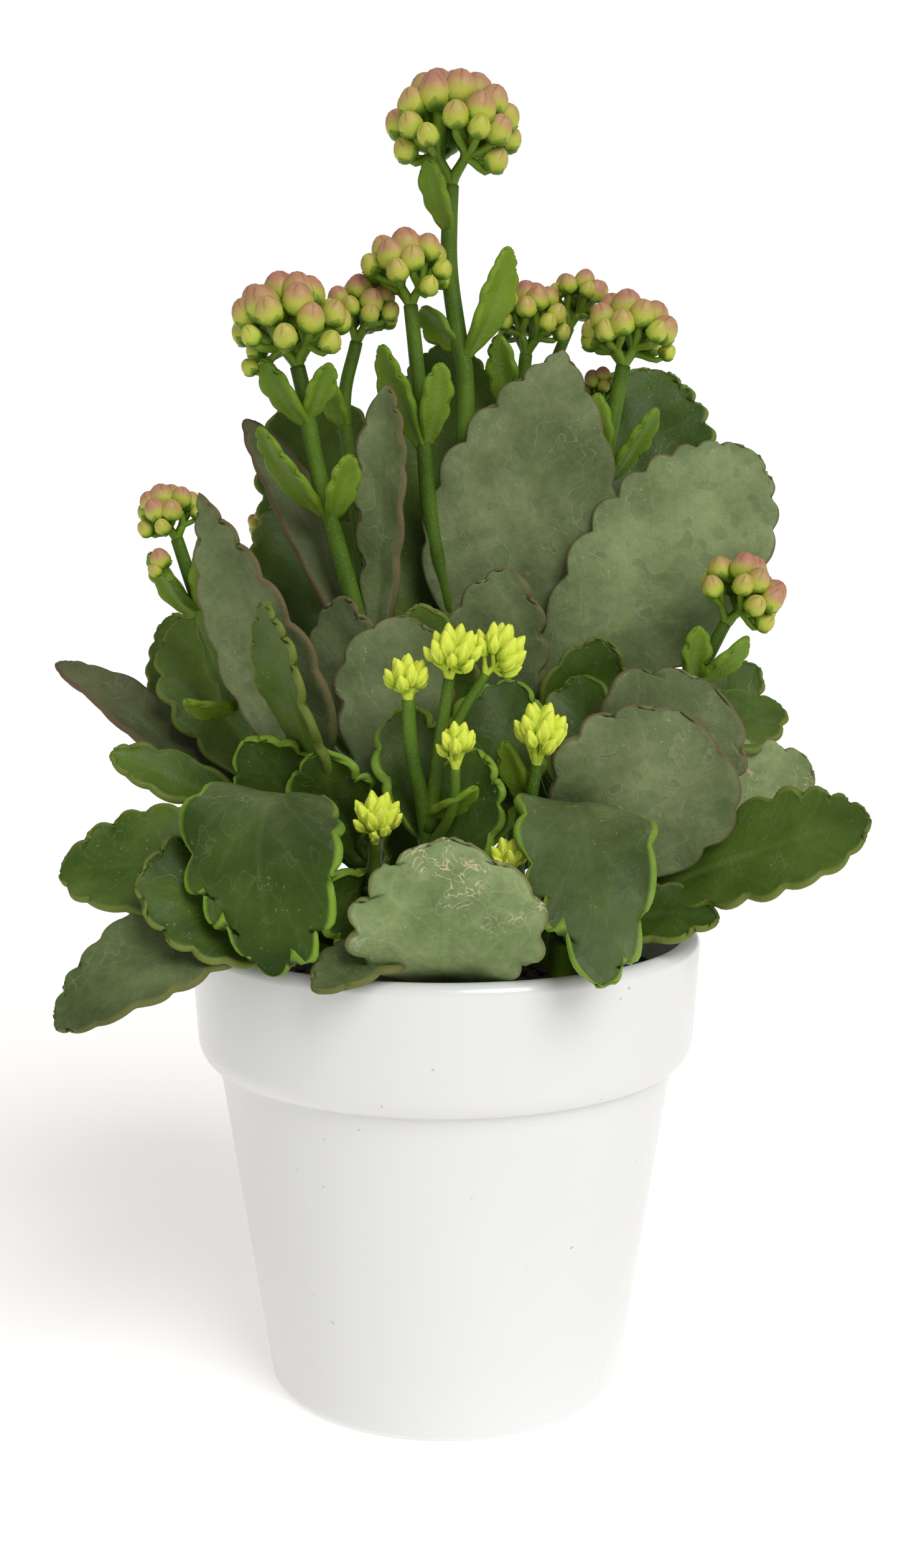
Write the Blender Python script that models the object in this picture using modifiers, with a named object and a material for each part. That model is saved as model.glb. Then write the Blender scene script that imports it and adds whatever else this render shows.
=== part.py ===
"""A flowering kalanchoe in bud: leafy shoots in peat, standing in a plain white glazed pot.

Metres, +Z up. The origin is the centre of the pot's foot, on the surface that the pot stands on,
and -Y is the plant's front. The constants and the tables below are in millimetres.
"""

import math
import random
from collections import namedtuple

import bmesh
import bpy
import numpy as np
from mathutils import Matrix, Vector

MM = 0.001
CLEARANCE = 0.3

# Pot: a straight tapered body under a deep collar.
POT_HEIGHT = 122.5
RIM_RADIUS = 67.5
COLLAR_BOTTOM_RADIUS = 66.0
COLLAR_BOTTOM = 96.0
BODY_TOP_RADIUS = 60.3
BODY_TOP = 88.5
FOOT_RADIUS = 47.6
FOOT_ROUNDING = 3.5
WALL = 5.6
FLOOR = 6.0
POT_SIDES = 36
RIM_STEPS = 4
COLLAR_STEPS = 3
FOOT_STEPS = 2

# Peat: it fills the pot to a little under the rim, and each stem stands in a hole in it.
PEAT_TOP = 109.0
PEAT_CROWN = 2.0
PEAT_SIDES = 24
HOLE_DEPTH = 14.0
HOLE_SIDES = 6

# Leaves and bracts.
BLADE_THICKNESS = 1.6
STALK_HALF_WIDTH = 1.9
SCALLOP_DEPTH = 0.05
NARROW_SCALLOP = 0.35
SCALLOPS_START = 0.2
BLADE_ROUNDNESS = 1.45
WIDEST = 0.62
BRACT_ROWS = 3
BRACT_STALK = 0.12
BRACT_FACE = (-15.0, -5.0)

# Stems and bud heads.
STEM_BEVEL = 1
BRANCH_BEVEL = 0
ROOT_DEPTH = 1.4
GOLDEN_ANGLE = math.pi * (3.0 - math.sqrt(5.0))
DOME_ANGLE = math.radians(100.0)
DOME_FLATTENING = 0.9
BUD_OUT = 0.86
BUD_CENTRE = 0.32
BUD_FILL = 0.88
INNER_BUD = 1.08
OUTER_BUD = 0.85
SMALLEST_HUB = 1.2
HUB_SWELL = 1.12
SIZE_SPREAD = 0.03

# The plant's tables. A leaf leaves its stem at a height and reaches its tip, with its upper side
# turned to its face. It arches out of that side, sways across it, and its edges are cupped and waved.
# A stem has its route, its radius at both ends and perhaps a head, whose neck is short of the buds
# and whose reach is from the head's centre to their outer ends.
Leaf = namedtuple("Leaf", "at tip width face arch sway cup wave lobes stalk widest",
                  defaults=(3.0, 0.0, 2.0, 0.0, 3, 0.25, WIDEST))
Bract = namedtuple("Bract", "root tip width arch", defaults=(1.5,))
Head = namedtuple("Head", "name centre neck reach buds length", defaults=(1.45,))
Stem = namedtuple("Stem", "points low top head", defaults=(None,))
Shoot = namedtuple("Shoot", "name stem branches leaves bracts")

LEFT = Shoot(
    "shoot_left",
    Stem([(-30, 0, 112), (-37, 0, 138), (-49, 1, 168), (-55, 2, 182), (-61, 2, 197),
          (-66, 2, 212)], 3.4, 1.7, Head("buds_left_top", (-72, 2, 231), 6, 10, 6)),
    [Stem([(-64, 2, 207), (-68, -3, 210)], 1.3, 1.1,
          Head("bud_left_side", (-73, -6, 219), 5, 5, 1))],
    [
        Leaf(120, (-107, 22, 192), 19, (-0.35, -0.06, 0.93), 8, 0, 3),
        Leaf(144, (-86, -16, 171), 15, (-0.2, -0.7, 0.7)),
        Leaf(152, (-58, -2, 218), 22, (-0.75, -0.65, 0)),
        Leaf(145, (-72, 18, 204), 29, (0.1, -1, 0.15), 0),
        Leaf(130, (-78, 32, 204), 30, (-0.3, -0.9, 0.1), 0),
    ],
    [
        Bract((-65, 2, 205), (-78, 3, 222), 6),
        Bract((-64, 1, 207), (-62, -5, 224), 5),
        Bract((-55, 1, 181), (-68, -9, 184), 6),
    ],
)

LEFT_BACK = Shoot(
    "shoot_left_back",
    Stem([(-12, 8, 112), (-15, 4, 150), (-19, 0, 187), (-23, 0, 204), (-28, 0, 223),
          (-34, 0, 247), (-36, 0, 260)], 3.5, 2.0, Head("buds_left_back_top", (-40, 0, 278), 9, 17, 11)),
    [
        Stem([(-15.5, 5, 158), (-19, 12, 185), (-22, 16, 215), (-25, 17, 240), (-27, 17, 262)],
             2.4, 1.7, Head("buds_left_back_inner", (-22, 17, 285), 8, 11, 6)),
        Stem([(-22, 16, 220), (-20, 17, 230)], 1.4, 1.2,
             Head("buds_left_back_low", (-19, 17, 244), 6, 6, 4)),
    ],
    [
        Leaf(168, (-53, 10, 257), 13, (0.3, -0.9, 0.3), 2, -5),
        Leaf(138, (-44, 36, 238), 36, (0.2, -0.9, 0.1), 0),
        Leaf(174, (-15, 0, 265), 15, (-0.5, -0.85, 0), 1),
        Leaf(150, (-27, -5, 211), 24, (-0.6, -0.8, 0)),
    ],
    [
        Bract((-31, 0, 231), (-48, -6, 254), 7),
        Bract((-30, 0, 230), (-24, -8, 247), 6),
        Bract((-35, 0, 254), (-47, -4, 271), 6),
        Bract((-36, 0, 256), (-29, -6, 270), 5),
        Bract((-27, 17, 255), (-33, 12, 270), 5),
    ],
)

CENTRE = Shoot(
    "shoot_centre",
    Stem([(6, 16, 112), (5, 17, 180), (5, 18, 243), (5, 18, 269), (3, 19, 281), (1, 20, 297),
          (1, 20, 308)], 3.6, 2.1, Head("buds_centre_top", (2, 20, 331), 13, 19, 13)),
    [
        Stem([(5, 17, 190), (0, 14, 212), (-4, 13, 231), (-6, 12, 254), (-8, 12, 275)],
             2.4, 1.9, Head("buds_centre_left", (-10, 12, 294), 8, 13.5, 7)),
        Stem([(5, 18, 215), (12, 26, 240), (20, 28, 262)], 2.2, 1.8,
             Head("buds_centre_right", (23, 28, 284), 9, 12, 7)),
        Stem([(14, 26, 245), (26, 31, 265)], 1.8, 1.5,
             Head("buds_centre_right_back", (37, 35, 290), 8, 10, 6)),
    ],
    [
        Leaf(128, (0, 34, 279), 41, (0, -1, 0.1)),
        Leaf(118, (14, 44, 274), 34, (0.1, -1, 0.1)),
        Leaf(168, (31, 10, 275), 50, (-0.1, -1, 0.1), 2, 0, 1, 0, 5, widest=0.42),
        Leaf(150, (81, 4, 248), 46, (0, -1, 0.2), 5, 0, 1, 0, 5),
        Leaf(115, (-6, -8, 158), 30, (0, -1, 0.1)),
        Leaf(125, (-7, -9, 209), 24, (0.2, -1, 0.1)),
        Leaf(140, (16, -6, 218), 28, (-0.1, -1, 0.1)),
    ],
    [
        Bract((5, 18, 273), (17, 15, 302), 8, 3),
        Bract((5, 18, 275), (-7, 26, 287), 6),
        Bract((1, 20, 306), (-5, 12, 324), 5),
        Bract((-6, 12, 249), (-17, 8, 276), 7),
        Bract((-5, 12, 250), (-1, 4, 271), 6),
        Bract((18, 28, 257), (14, 20, 280), 6),
    ],
)

RIGHT_BACK = Shoot(
    "shoot_right_back",
    Stem([(25, 10, 112), (26, 10, 140), (30, 13, 180), (38, 17, 223), (41, 18, 236),
          (45, 19, 258)], 3.5, 2.0, Head("buds_right_top", (49, 20, 279), 8, 14, 7)),
    [Stem([(33, 14, 195), (36, 24, 225), (39, 28, 246)], 1.8, 1.4,
          Head("buds_right_back", (43, 30, 266), 8, 7, 5))],
    [
        Leaf(185, (61, 50, 273), 44, (-0.1, -1, 0.1), 0, 0, 3, 0, 4),
        Leaf(140, (41, -7, 200), 25, (0, -1, 0.1)),
        Leaf(128, (86, 24, 191), 24, (-0.1, -0.9, 0.4)),
    ],
    [
        Bract((41, 18, 237), (40, 12, 264), 6),
        Bract((42, 18, 240), (56, 11, 260), 6),
    ],
)

RIGHT_FRONT = Shoot(
    "shoot_right_front",
    Stem([(30, -12, 112), (33, -15, 135), (43, -16, 162), (56, -14, 179), (64, -13, 190)],
         3.4, 1.6, Head("buds_right_front_top", (75, -14, 211), 8, 12.5, 7)),
    [
        Stem([(31, -13, 124), (27, -27, 142), (21, -40, 159)], 2.0, 1.5,
             Head("buds_right_front_inner", (23, -44, 179), 8, 8.5, 6, 1.5)),
        Stem([(31, -14, 126), (20, -36, 132), (16, -46, 138)], 1.5, 1.2,
             Head("buds_right_front_low", (15, -52, 150), 6, 6, 4, 1.6)),
    ],
    [
        Leaf(160, (90, 8, 181), 22, (-0.1, -0.7, 0.7)),
        Leaf(150, (66, -24, 190), 40, (0.1, -1, 0.1)),
        Leaf(124, (57, -36, 184), 48, (0.1, -1, 0.1), 5, 0, 3, 0, 4),
        Leaf(134, (95, -8, 168), 28, (-0.1, -0.9, 0.4), 2, 0, 2, 0, 4),
        Leaf(125, (104, -40, 158), 27, (0.2, -0.8, 0.6), 4, 0, 2, 0, 4),
        Leaf(119, (68, -37, 132), 18, (0.1, -0.7, 0.7), 7),
        Leaf(142, (35, -12, 191), 22, (-0.1, -1, 0.1)),
        Leaf(118, (36, -76, 124), 33, (0, -0.3, 0.95), 40, 0, 0, 2, 4),
    ],
    [
        Bract((63, -13, 189), (64, -18, 204), 5),
        Bract((64, -13, 189), (77, -18, 201), 5),
        Bract((21, -34, 160), (14, -39, 177), 5),
        Bract((20, -38, 155), (33, -45, 161), 7),
    ],
)

FRONT_LEFT = Shoot(
    "shoot_front_left",
    Stem([(-22, -22, 112), (-21, -20, 130), (-20, -17, 150)], 3.4, 2.4),
    [
        Stem([(-21, -20, 128), (-18, -40, 138)], 1.8, 1.4,
             Head("buds_front_left_low", (-16, -55, 160), 8, 7.5, 6, 1.5)),
    ],
    [
        Leaf(148, (-61, -24, 237), 27, (-0.6, -0.75, 0.3), 3, 0, 3, 0, 4, widest=0.4),
        Leaf(132, (-96, -33, 143), 34, (-0.1, -0.7, 0.75), 8, 0, 3, 0, 4),
        Leaf(120, (-73, -57, 144), 37, (-0.2, -0.8, 0.6), 7),
        Leaf(122, (-92, -62, 111), 28, (0.1, -0.5, 0.85), 17),
        Leaf(142, (-39, -70, 125), 42, (-0.1, -0.3, 0.95), 31, -9, 0, 2, 4),
        Leaf(140, (-50, -30, 176), 22, (-0.3, -0.9, 0.2)),
        Leaf(142, (-31, -36, 174), 22, (-0.2, -0.9, 0.2)),
        Leaf(118, (-28, -54, 145), 20, (0.1, -0.8, 0.5)),
        Leaf(144, (-43, -44, 211), 20, (-0.75, -0.6, 0)),
        Leaf(146, (-9, -14, 206), 30, (-0.1, -1, 0.1)),
    ],
    [],
)

FRONT_CENTRE = Shoot(
    "shoot_front_centre",
    Stem([(0, -30, 112), (-3, -38, 140), (-5, -42, 160), (-8, -44, 175)], 3.2, 1.6,
         Head("buds_front_left_stalk", (-9, -45, 192), 5, 7, 5, 1.6)),
    [
        Stem([(-4, -42, 155), (-1, -44, 178)], 1.8, 1.4,
             Head("buds_front_middle_stalk", (2, -46, 198), 6, 8.5, 6, 1.6)),
        Stem([(-2, -43, 172), (5, -42, 185)], 1.4, 1.2,
             Head("buds_front_right_stalk", (13, -42, 198), 6, 8.5, 6, 1.6)),
        Stem([(-4, -42, 150), (2, -49, 162)], 1.4, 1.2,
             Head("buds_front_low_stalk", (3, -52, 177), 6, 6.5, 4, 1.6)),
    ],
    [
        Leaf(117, (1, -72, 158), 46, (0, -0.7, -0.7), 15, 0, 2, 0, 4),
        Leaf(115, (-30, -75, 123), 16, (-0.1, -0.6, 0.8), 8),
        Leaf(126, (8, -40, 175), 20, (-0.2, -1, 0.1)),
        Leaf(140, (-10, -27, 184), 20, (0.1, -1, 0.1)),
        Leaf(128, (18, -20, 190), 27, (-0.1, -1, 0.2)),
    ],
    [Bract((-4, -42, 159), (8, -50, 167), 5)],
)

BACK_LEFT = Shoot(
    "shoot_back_left",
    Stem([(-14, 38, 112), (-18, 44, 160), (-22, 46, 205)], 3.4, 1.9,
         Head("buds_back_left", (-24, 54, 233), 9, 12, 4)),
    [Stem([(-18, 44, 155), (-35, 49, 190), (-47, 50, 212)], 2.0, 1.4,
          Head("buds_left_back_outer", (-52, 50, 229), 7, 6, 4))],
    [
        Leaf(130, (-72, 70, 150), 36, (-0.3, 0.6, 0.75), 10, lobes=2),
        Leaf(124, (-20, 98, 140), 38, (0, 0.7, 0.7), 10, lobes=2),
        Leaf(118, (-52, 80, 118), 32, (-0.3, 0.5, 0.8), 15, lobes=2),
        Leaf(146, (-55, 76, 190), 34, (-0.5, 0.8, 0.3), lobes=2),
        Leaf(162, (-18, 86, 205), 32, (0, 0.95, 0.3), lobes=2),
        Leaf(180, (-40, 64, 232), 28, (-0.4, 0.9, 0.2), lobes=2),
        Leaf(150, (-39, 40, 268), 40, (0, -1, 0.1), 0, lobes=4),
    ],
    [],
)

BACK_RIGHT = Shoot(
    "shoot_back_right",
    Stem([(18, 38, 112), (22, 44, 160), (26, 48, 198)], 3.4, 1.9,
         Head("buds_back_right", (29, 50, 225), 9, 12, 4)),
    [],
    [
        Leaf(130, (72, 68, 152), 36, (0.4, 0.6, 0.7), 10, lobes=2),
        Leaf(124, (30, 98, 150), 38, (0.1, 0.7, 0.7), 9, lobes=2),
        Leaf(118, (56, 78, 120), 30, (0.3, 0.5, 0.8), 15, lobes=2),
        Leaf(146, (58, 76, 195), 34, (0.5, 0.8, 0.3), lobes=2),
        Leaf(160, (22, 88, 208), 32, (0, 0.95, 0.3), lobes=2),
        Leaf(180, (46, 68, 234), 28, (0.4, 0.9, 0.2), lobes=2),
    ],
    [],
)

SHOOTS = [LEFT, LEFT_BACK, CENTRE, RIGHT_BACK, RIGHT_FRONT, FRONT_LEFT, FRONT_CENTRE,
          BACK_LEFT, BACK_RIGHT]


def clear_scene():
    for item in list(bpy.data.objects):
        bpy.data.objects.remove(item)


def new_collection(name):
    made = bpy.data.collections.new(name)
    bpy.context.scene.collection.children.link(made)
    return made


def new_material(name, colour, roughness, metallic=0.0):
    made = bpy.data.materials.new(name)
    made.use_nodes = True
    shader = made.node_tree.nodes["Principled BSDF"]
    shader.inputs["Base Color"].default_value = (*colour, 1.0)
    shader.inputs["Roughness"].default_value = roughness
    shader.inputs["Metallic"].default_value = metallic
    return made


def add_object(name, mesh, collection):
    made = bpy.data.objects.new(name, mesh)
    collection.objects.link(made)
    return made


def evaluated_mesh(item):
    bpy.context.view_layer.update()
    graph = bpy.context.evaluated_depsgraph_get()
    return bpy.data.meshes.new_from_object(item.evaluated_get(graph))


def arc(centre, radii, start, end, steps):
    """Points on a quarter or half round, between two angles in degrees."""
    angles = [math.radians(start + (end - start) * step / steps) for step in range(steps + 1)]
    return [(centre[0] + radii[0] * math.cos(a), centre[1] + radii[1] * math.sin(a)) for a in angles]


def turned(name, profile, sides, collection):
    """A solid turned round Z from (radius, height) points, which run down its outer side."""
    mesh = bpy.data.meshes.new(name)
    points = [(radius * MM, 0.0, height * MM) for radius, height in profile]
    mesh.from_pydata(points, [(i, i + 1) for i in range(len(points) - 1)], [])
    made = add_object(name, mesh, collection)
    turn = made.modifiers.new("turn", "SCREW")
    turn.steps = sides
    turn.render_steps = sides
    turn.use_merge_vertices = True
    turn.merge_threshold = 0.01 * MM
    return made


def inner_wall(gap):
    """The pot's inside from its floor up to under the rim, drawn in by a gap."""
    inside_foot = FOOT_RADIUS - WALL
    return [
        (inside_foot - FOOT_ROUNDING - gap, FLOOR + gap),
        (inside_foot - gap, FLOOR + FOOT_ROUNDING),
        (BODY_TOP_RADIUS - WALL - gap, BODY_TOP - WALL),
        (COLLAR_BOTTOM_RADIUS - WALL - gap, BODY_TOP),
    ]


def make_pot(collection):
    edge = WALL / 2
    rim_centre = (RIM_RADIUS - edge, POT_HEIGHT - edge)
    foot_centre = (FOOT_RADIUS - FOOT_ROUNDING, FOOT_ROUNDING)
    collar_centre = (BODY_TOP_RADIUS, COLLAR_BOTTOM)
    collar_radii = (COLLAR_BOTTOM_RADIUS - BODY_TOP_RADIUS, COLLAR_BOTTOM - BODY_TOP)
    profile = [(0, FLOOR)] + inner_wall(0)
    profile += arc(rim_centre, (edge, edge), 180, 0, RIM_STEPS)
    profile += arc(collar_centre, collar_radii, 0, -90, COLLAR_STEPS)
    profile += arc(foot_centre, (FOOT_ROUNDING, FOOT_ROUNDING), 0, -90, FOOT_STEPS)
    profile += [(0, 0)]
    pot = turned("pot", profile, POT_SIDES, collection)
    pot.data.materials.append(new_material("white_glaze", (0.86, 0.86, 0.85), 0.22))
    return pot


def make_peat(collection, cutters):
    gap = CLEARANCE + RIM_RADIUS * (1.0 - math.cos(math.pi / POT_SIDES))
    wall = inner_wall(gap)
    profile = [(0, PEAT_TOP + PEAT_CROWN), (RIM_RADIUS / 2, PEAT_TOP + PEAT_CROWN / 2)]
    profile += [(wall[-1][0], PEAT_TOP)] + wall[::-1] + [(0, wall[0][1])]
    peat = turned("peat", profile, PEAT_SIDES, collection)
    peat.data.materials.append(new_material("peat", (0.05, 0.032, 0.022), 0.95))
    for shoot in SHOOTS:
        add_hole_cutter(shoot, cutters)
    holes = peat.modifiers.new("stem_holes", "BOOLEAN")
    holes.operation = "DIFFERENCE"
    holes.operand_type = "COLLECTION"
    holes.collection = cutters
    return peat


def add_hole_cutter(shoot, cutters):
    """A blind round hole down from over the peat, a clearance wider than the stem."""
    x, y, _ = shoot.stem.points[0]
    radius = (shoot.stem.low + CLEARANCE) / math.cos(math.pi / HOLE_SIDES)
    hole = bmesh.new()
    middle = Matrix.Translation(Vector((x, y, PEAT_TOP)) * MM)
    bmesh.ops.create_cone(hole, cap_ends=True, segments=HOLE_SIDES, radius1=radius * MM,
                          radius2=radius * MM, depth=2 * HOLE_DEPTH * MM, matrix=middle)
    mesh = bpy.data.meshes.new(shoot.name + "_hole")
    hole.to_mesh(mesh)
    hole.free()
    cutter = add_object(shoot.name + "_hole", mesh, cutters)
    cutter.hide_render = True
    cutter.display_type = "WIRE"


def stalk_path(stem):
    """The centre line of a stem or stalk; one with a bud head ends short of it, aimed at it."""
    path = [np.array(point, float) for point in stem.points]
    if stem.head:
        centre = np.array(stem.head.centre, float)
        path.append(centre + unit(path[-1] - centre) * stem.head.neck)
    return path


def stem_path(stem):
    """The centre line of a main stem, which starts straight down its hole in the peat."""
    x, y, _ = stem.points[0]
    return [np.array((x, y, PEAT_TOP - HOLE_DEPTH + CLEARANCE))] + stalk_path(stem)


def point_at_height(path, height):
    """The point on a rising path at the given height."""
    heights = [point[2] for point in path]
    return np.array([np.interp(height, heights, [point[axis] for point in path])
                     for axis in range(3)])


def make_tube(name, path, low, top, bevel, collection):
    curve = bpy.data.curves.new(name, "CURVE")
    curve.dimensions = "3D"
    curve.bevel_depth = MM
    curve.bevel_resolution = bevel
    curve.use_fill_caps = True
    spline = curve.splines.new("POLY")
    spline.points.add(len(path) - 1)
    for place, (knot, point) in enumerate(zip(spline.points, path)):
        knot.co = (*(np.array(point) * MM), 1.0)
        knot.radius = low + (top - low) * place / (len(path) - 1)
    guide = add_object(name, curve, collection)
    mesh = evaluated_mesh(guide)
    bpy.data.objects.remove(guide)
    solid = bmesh.new()
    solid.from_mesh(mesh)
    bmesh.ops.remove_doubles(solid, verts=solid.verts, dist=0.01 * MM)
    solid.to_mesh(mesh)
    solid.free()
    return add_object(name, mesh, collection)


def unit(vector):
    return vector / np.linalg.norm(vector)


def blade_axes(root, tip, face):
    """Directions along the blade, across it and out of its seen side."""
    along = unit(tip - root)
    face = np.array(face, float)
    out = unit(face - along * np.dot(face, along))
    return along, np.cross(out, along), out


def half_width(t, widest):
    """The blade's half width, 1 where it is widest, as a part t of the way from stalk to tip."""
    base_shape = BLADE_ROUNDNESS * widest
    tip_shape = BLADE_ROUNDNESS - base_shape
    most = widest ** base_shape * (1 - widest) ** tip_shape
    return max(t, 0.0) ** base_shape * max(1 - t, 0.0) ** tip_shape / most


def outline_point(leaf, length, turn):
    """Half width and distance along the blade, for a turn from 0 at the stalk to 1 at the tip."""
    t = math.sin(turn * math.pi / 2)
    wide = 0.5 * leaf.width * half_width(t, leaf.widest) + STALK_HALF_WIDTH * (1 - t)
    return np.array([wide, t * length])


def scalloped_edge(leaf, length, turn):
    """How far the scallops draw the edge in from the plain outline, along the outline's normal."""
    if turn >= 1:
        return np.zeros(2)
    step = 0.01
    ahead = outline_point(leaf, length, min(turn + step, 1))
    behind = outline_point(leaf, length, max(turn - step, 0))
    run = unit(ahead - behind)
    notch = 1 - abs(math.cos(math.pi * leaf.lobes * (1 - turn)))
    start = min(1, turn / SCALLOPS_START) ** 2
    depth = min(SCALLOP_DEPTH * leaf.width, NARROW_SCALLOP * outline_point(leaf, length, turn)[0])
    return depth * notch * start * np.array([-run[1], run[0]])


def leaf_point(leaf, root, axes, row, across):
    """A point of the leaf: row 0 is its root in the stem, row 1 its tip, across is -1 to 1."""
    along, side, out = axes
    length = np.linalg.norm(np.array(leaf.tip) - root)
    rows = 2 * leaf.lobes + 1
    turn = (row * rows - 1) / (rows - 1)
    if turn < 0:
        flat = np.array([across * STALK_HALF_WIDTH, 0.0])
    else:
        edge = scalloped_edge(leaf, length * (1 - leaf.stalk), turn)
        flat = outline_point(leaf, length * (1 - leaf.stalk), turn) * (across, 1)
        flat += edge * (across * abs(across) ** 2, abs(across) ** 3)
        flat[1] += leaf.stalk * length
    s = flat[1] / length
    rise = leaf.arch * 4 * s * (1 - s)
    if turn >= 0:
        wave = leaf.wave * across * math.cos(math.pi * leaf.lobes * turn)
        rise += (leaf.cup * across ** 2 + wave) * half_width(math.sin(turn * math.pi / 2), leaf.widest)
    sway = leaf.sway * 4 * s * (1 - s)
    return root + along * flat[1] + side * (flat[0] + sway) + out * rise


def make_blade(name, place, rows, columns, collection):
    """A thin solid blade over a grid, each point put in its place by its row and its column."""
    grid = bmesh.new()
    bmesh.ops.create_grid(grid, x_segments=columns, y_segments=rows, size=1.0)
    for point in grid.verts:
        point.co = place((point.co.y + 1) / 2, point.co.x) * MM
    bmesh.ops.remove_doubles(grid, verts=grid.verts, dist=0.01 * MM)
    bmesh.ops.triangulate(grid, faces=grid.faces)
    mesh = bpy.data.meshes.new(name)
    grid.to_mesh(mesh)
    grid.free()
    blade = add_object(name, mesh, collection)
    thicken = blade.modifiers.new("thickness", "SOLIDIFY")
    thicken.thickness = BLADE_THICKNESS * MM
    thicken.offset = 0.0
    return blade


def leaf_root(leaf, stem):
    """Where the leaf starts: a little inside the skin of its stem, on the side of its tip."""
    path = stem_path(stem)
    middle = point_at_height(path, leaf.at)
    thickness = np.interp(leaf.at, [path[0][2], path[-1][2]], [stem.low, stem.top])
    return middle + unit(np.array(leaf.tip) - middle) * (thickness - ROOT_DEPTH)


def make_leaf(name, leaf, stem, collection):
    root = leaf_root(leaf, stem)
    axes = blade_axes(root, np.array(leaf.tip, float), leaf.face)
    make_blade(name, lambda row, across: leaf_point(leaf, root, axes, row, across),
               2 * leaf.lobes + 1, 2, collection)


def make_bract(name, bract, collection):
    """A small pointed leaf at a joint of a bud stalk."""
    root = np.array(bract.root, float)
    tip = np.array(bract.tip, float)
    axes = blade_axes(root, tip, (tip[0] - root[0], *BRACT_FACE))
    along, side, out = axes
    length = np.linalg.norm(tip - root)

    def place(row, across):
        wide = BRACT_STALK * (1 - row) + half_width(0.9 * row, WIDEST) * (1 - row ** 4)
        rise = bract.arch * 4 * row * (1 - row)
        return root + along * row * length + side * across * wide * bract.width / 2 + out * rise

    make_blade(name, place, BRACT_ROWS, 1, collection)


def keep_outer_skin(mesh):
    """Keep the largest connected piece: hollows sealed by the joining are filled that way."""
    solid = bmesh.new()
    solid.from_mesh(mesh)
    left = set(solid.faces)
    pieces = []
    while left:
        piece = {left.pop()}
        front = list(piece)
        while front:
            near = {other for edge in front.pop().edges for other in edge.link_faces} & left
            left -= near
            piece |= near
            front.extend(near)
        pieces.append(piece)
    pieces.sort(key=lambda piece: sum(face.calc_area() for face in piece))
    loose = [face for piece in pieces[:-1] for face in piece]
    bmesh.ops.delete(solid, geom=loose, context="FACES")
    solid.to_mesh(mesh)
    solid.free()


def fuse(name, body, helpers, collection):
    """One closed solid from a body and the helper shapes that grow from it."""
    join = body.modifiers.new("join", "BOOLEAN")
    join.operation = "UNION"
    join.operand_type = "COLLECTION"
    join.collection = helpers
    mesh = evaluated_mesh(body)
    keep_outer_skin(mesh)
    mesh.name = name
    for item in list(helpers.objects):
        bpy.data.objects.remove(item)
    bpy.data.objects.remove(body)
    mesh.shade_smooth()
    mesh.set_sharp_from_angle(angle=math.radians(50))
    return add_object(name, mesh, collection)


def make_shoot(shoot, collection, helpers, material):
    """A stem with its bud stalks, leaves and bracts, as one solid."""
    stem = shoot.stem
    body = make_tube(shoot.name + "_stem", stem_path(stem), stem.low, stem.top, STEM_BEVEL,
                     collection)
    for number, branch in enumerate(shoot.branches):
        make_tube(f"branch_{number}", stalk_path(branch), branch.low, branch.top, BRANCH_BEVEL,
                  helpers)
    for number, leaf in enumerate(shoot.leaves):
        make_leaf(f"leaf_{number}", leaf, stem, helpers)
    for number, bract in enumerate(shoot.bracts):
        make_bract(f"bract_{number}", bract, helpers)
    made = fuse(shoot.name, body, helpers, collection)
    made.data.materials.append(material)


def bud_size(head):
    """The middling width of a head's buds, so that they just cover its dome, and its hub's radius."""
    share = BUD_FILL * math.sqrt(2 * math.pi * (1 - math.cos(DOME_ANGLE)) / head.buds)
    width = share * head.reach / (1 + share * head.length / 2)
    return width, max(head.reach - BUD_OUT * width * head.length, SMALLEST_HUB)


def bud_places(head):
    """For each bud: the way it points, its width and the distance of its middle from the centre."""
    chance = random.Random(head.name)
    middling, hub = bud_size(head)
    for number in range(head.buds):
        part = (number + 0.5) / head.buds
        polar = math.acos(1 - (1 - math.cos(DOME_ANGLE)) * part) if head.buds > 1 else 0.0
        turn = number * GOLDEN_ANGLE
        width = middling * (INNER_BUD + (OUTER_BUD - INNER_BUD) * part)
        width *= 1 + chance.uniform(-SIZE_SPREAD, SIZE_SPREAD)
        way = Vector((math.sin(polar) * math.cos(turn), math.sin(polar) * math.sin(turn),
                      math.cos(polar) * DOME_FLATTENING))
        yield way, width, hub + BUD_CENTRE * width * head.length


def make_ball(name, centre, way, width, length, collection):
    """A round or long ball with its long axis along the given way."""
    ball = bmesh.new()
    bmesh.ops.create_icosphere(ball, subdivisions=1, radius=0.5 * MM)
    place = (Matrix.Translation(centre * MM) @ way.to_track_quat("Z", "Y").to_matrix().to_4x4()
             @ Matrix.Diagonal((width, width, length, 1.0)))
    bmesh.ops.transform(ball, matrix=place, verts=ball.verts)
    mesh = bpy.data.meshes.new(name)
    ball.to_mesh(mesh)
    ball.free()
    return add_object(name, mesh, collection)


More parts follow.
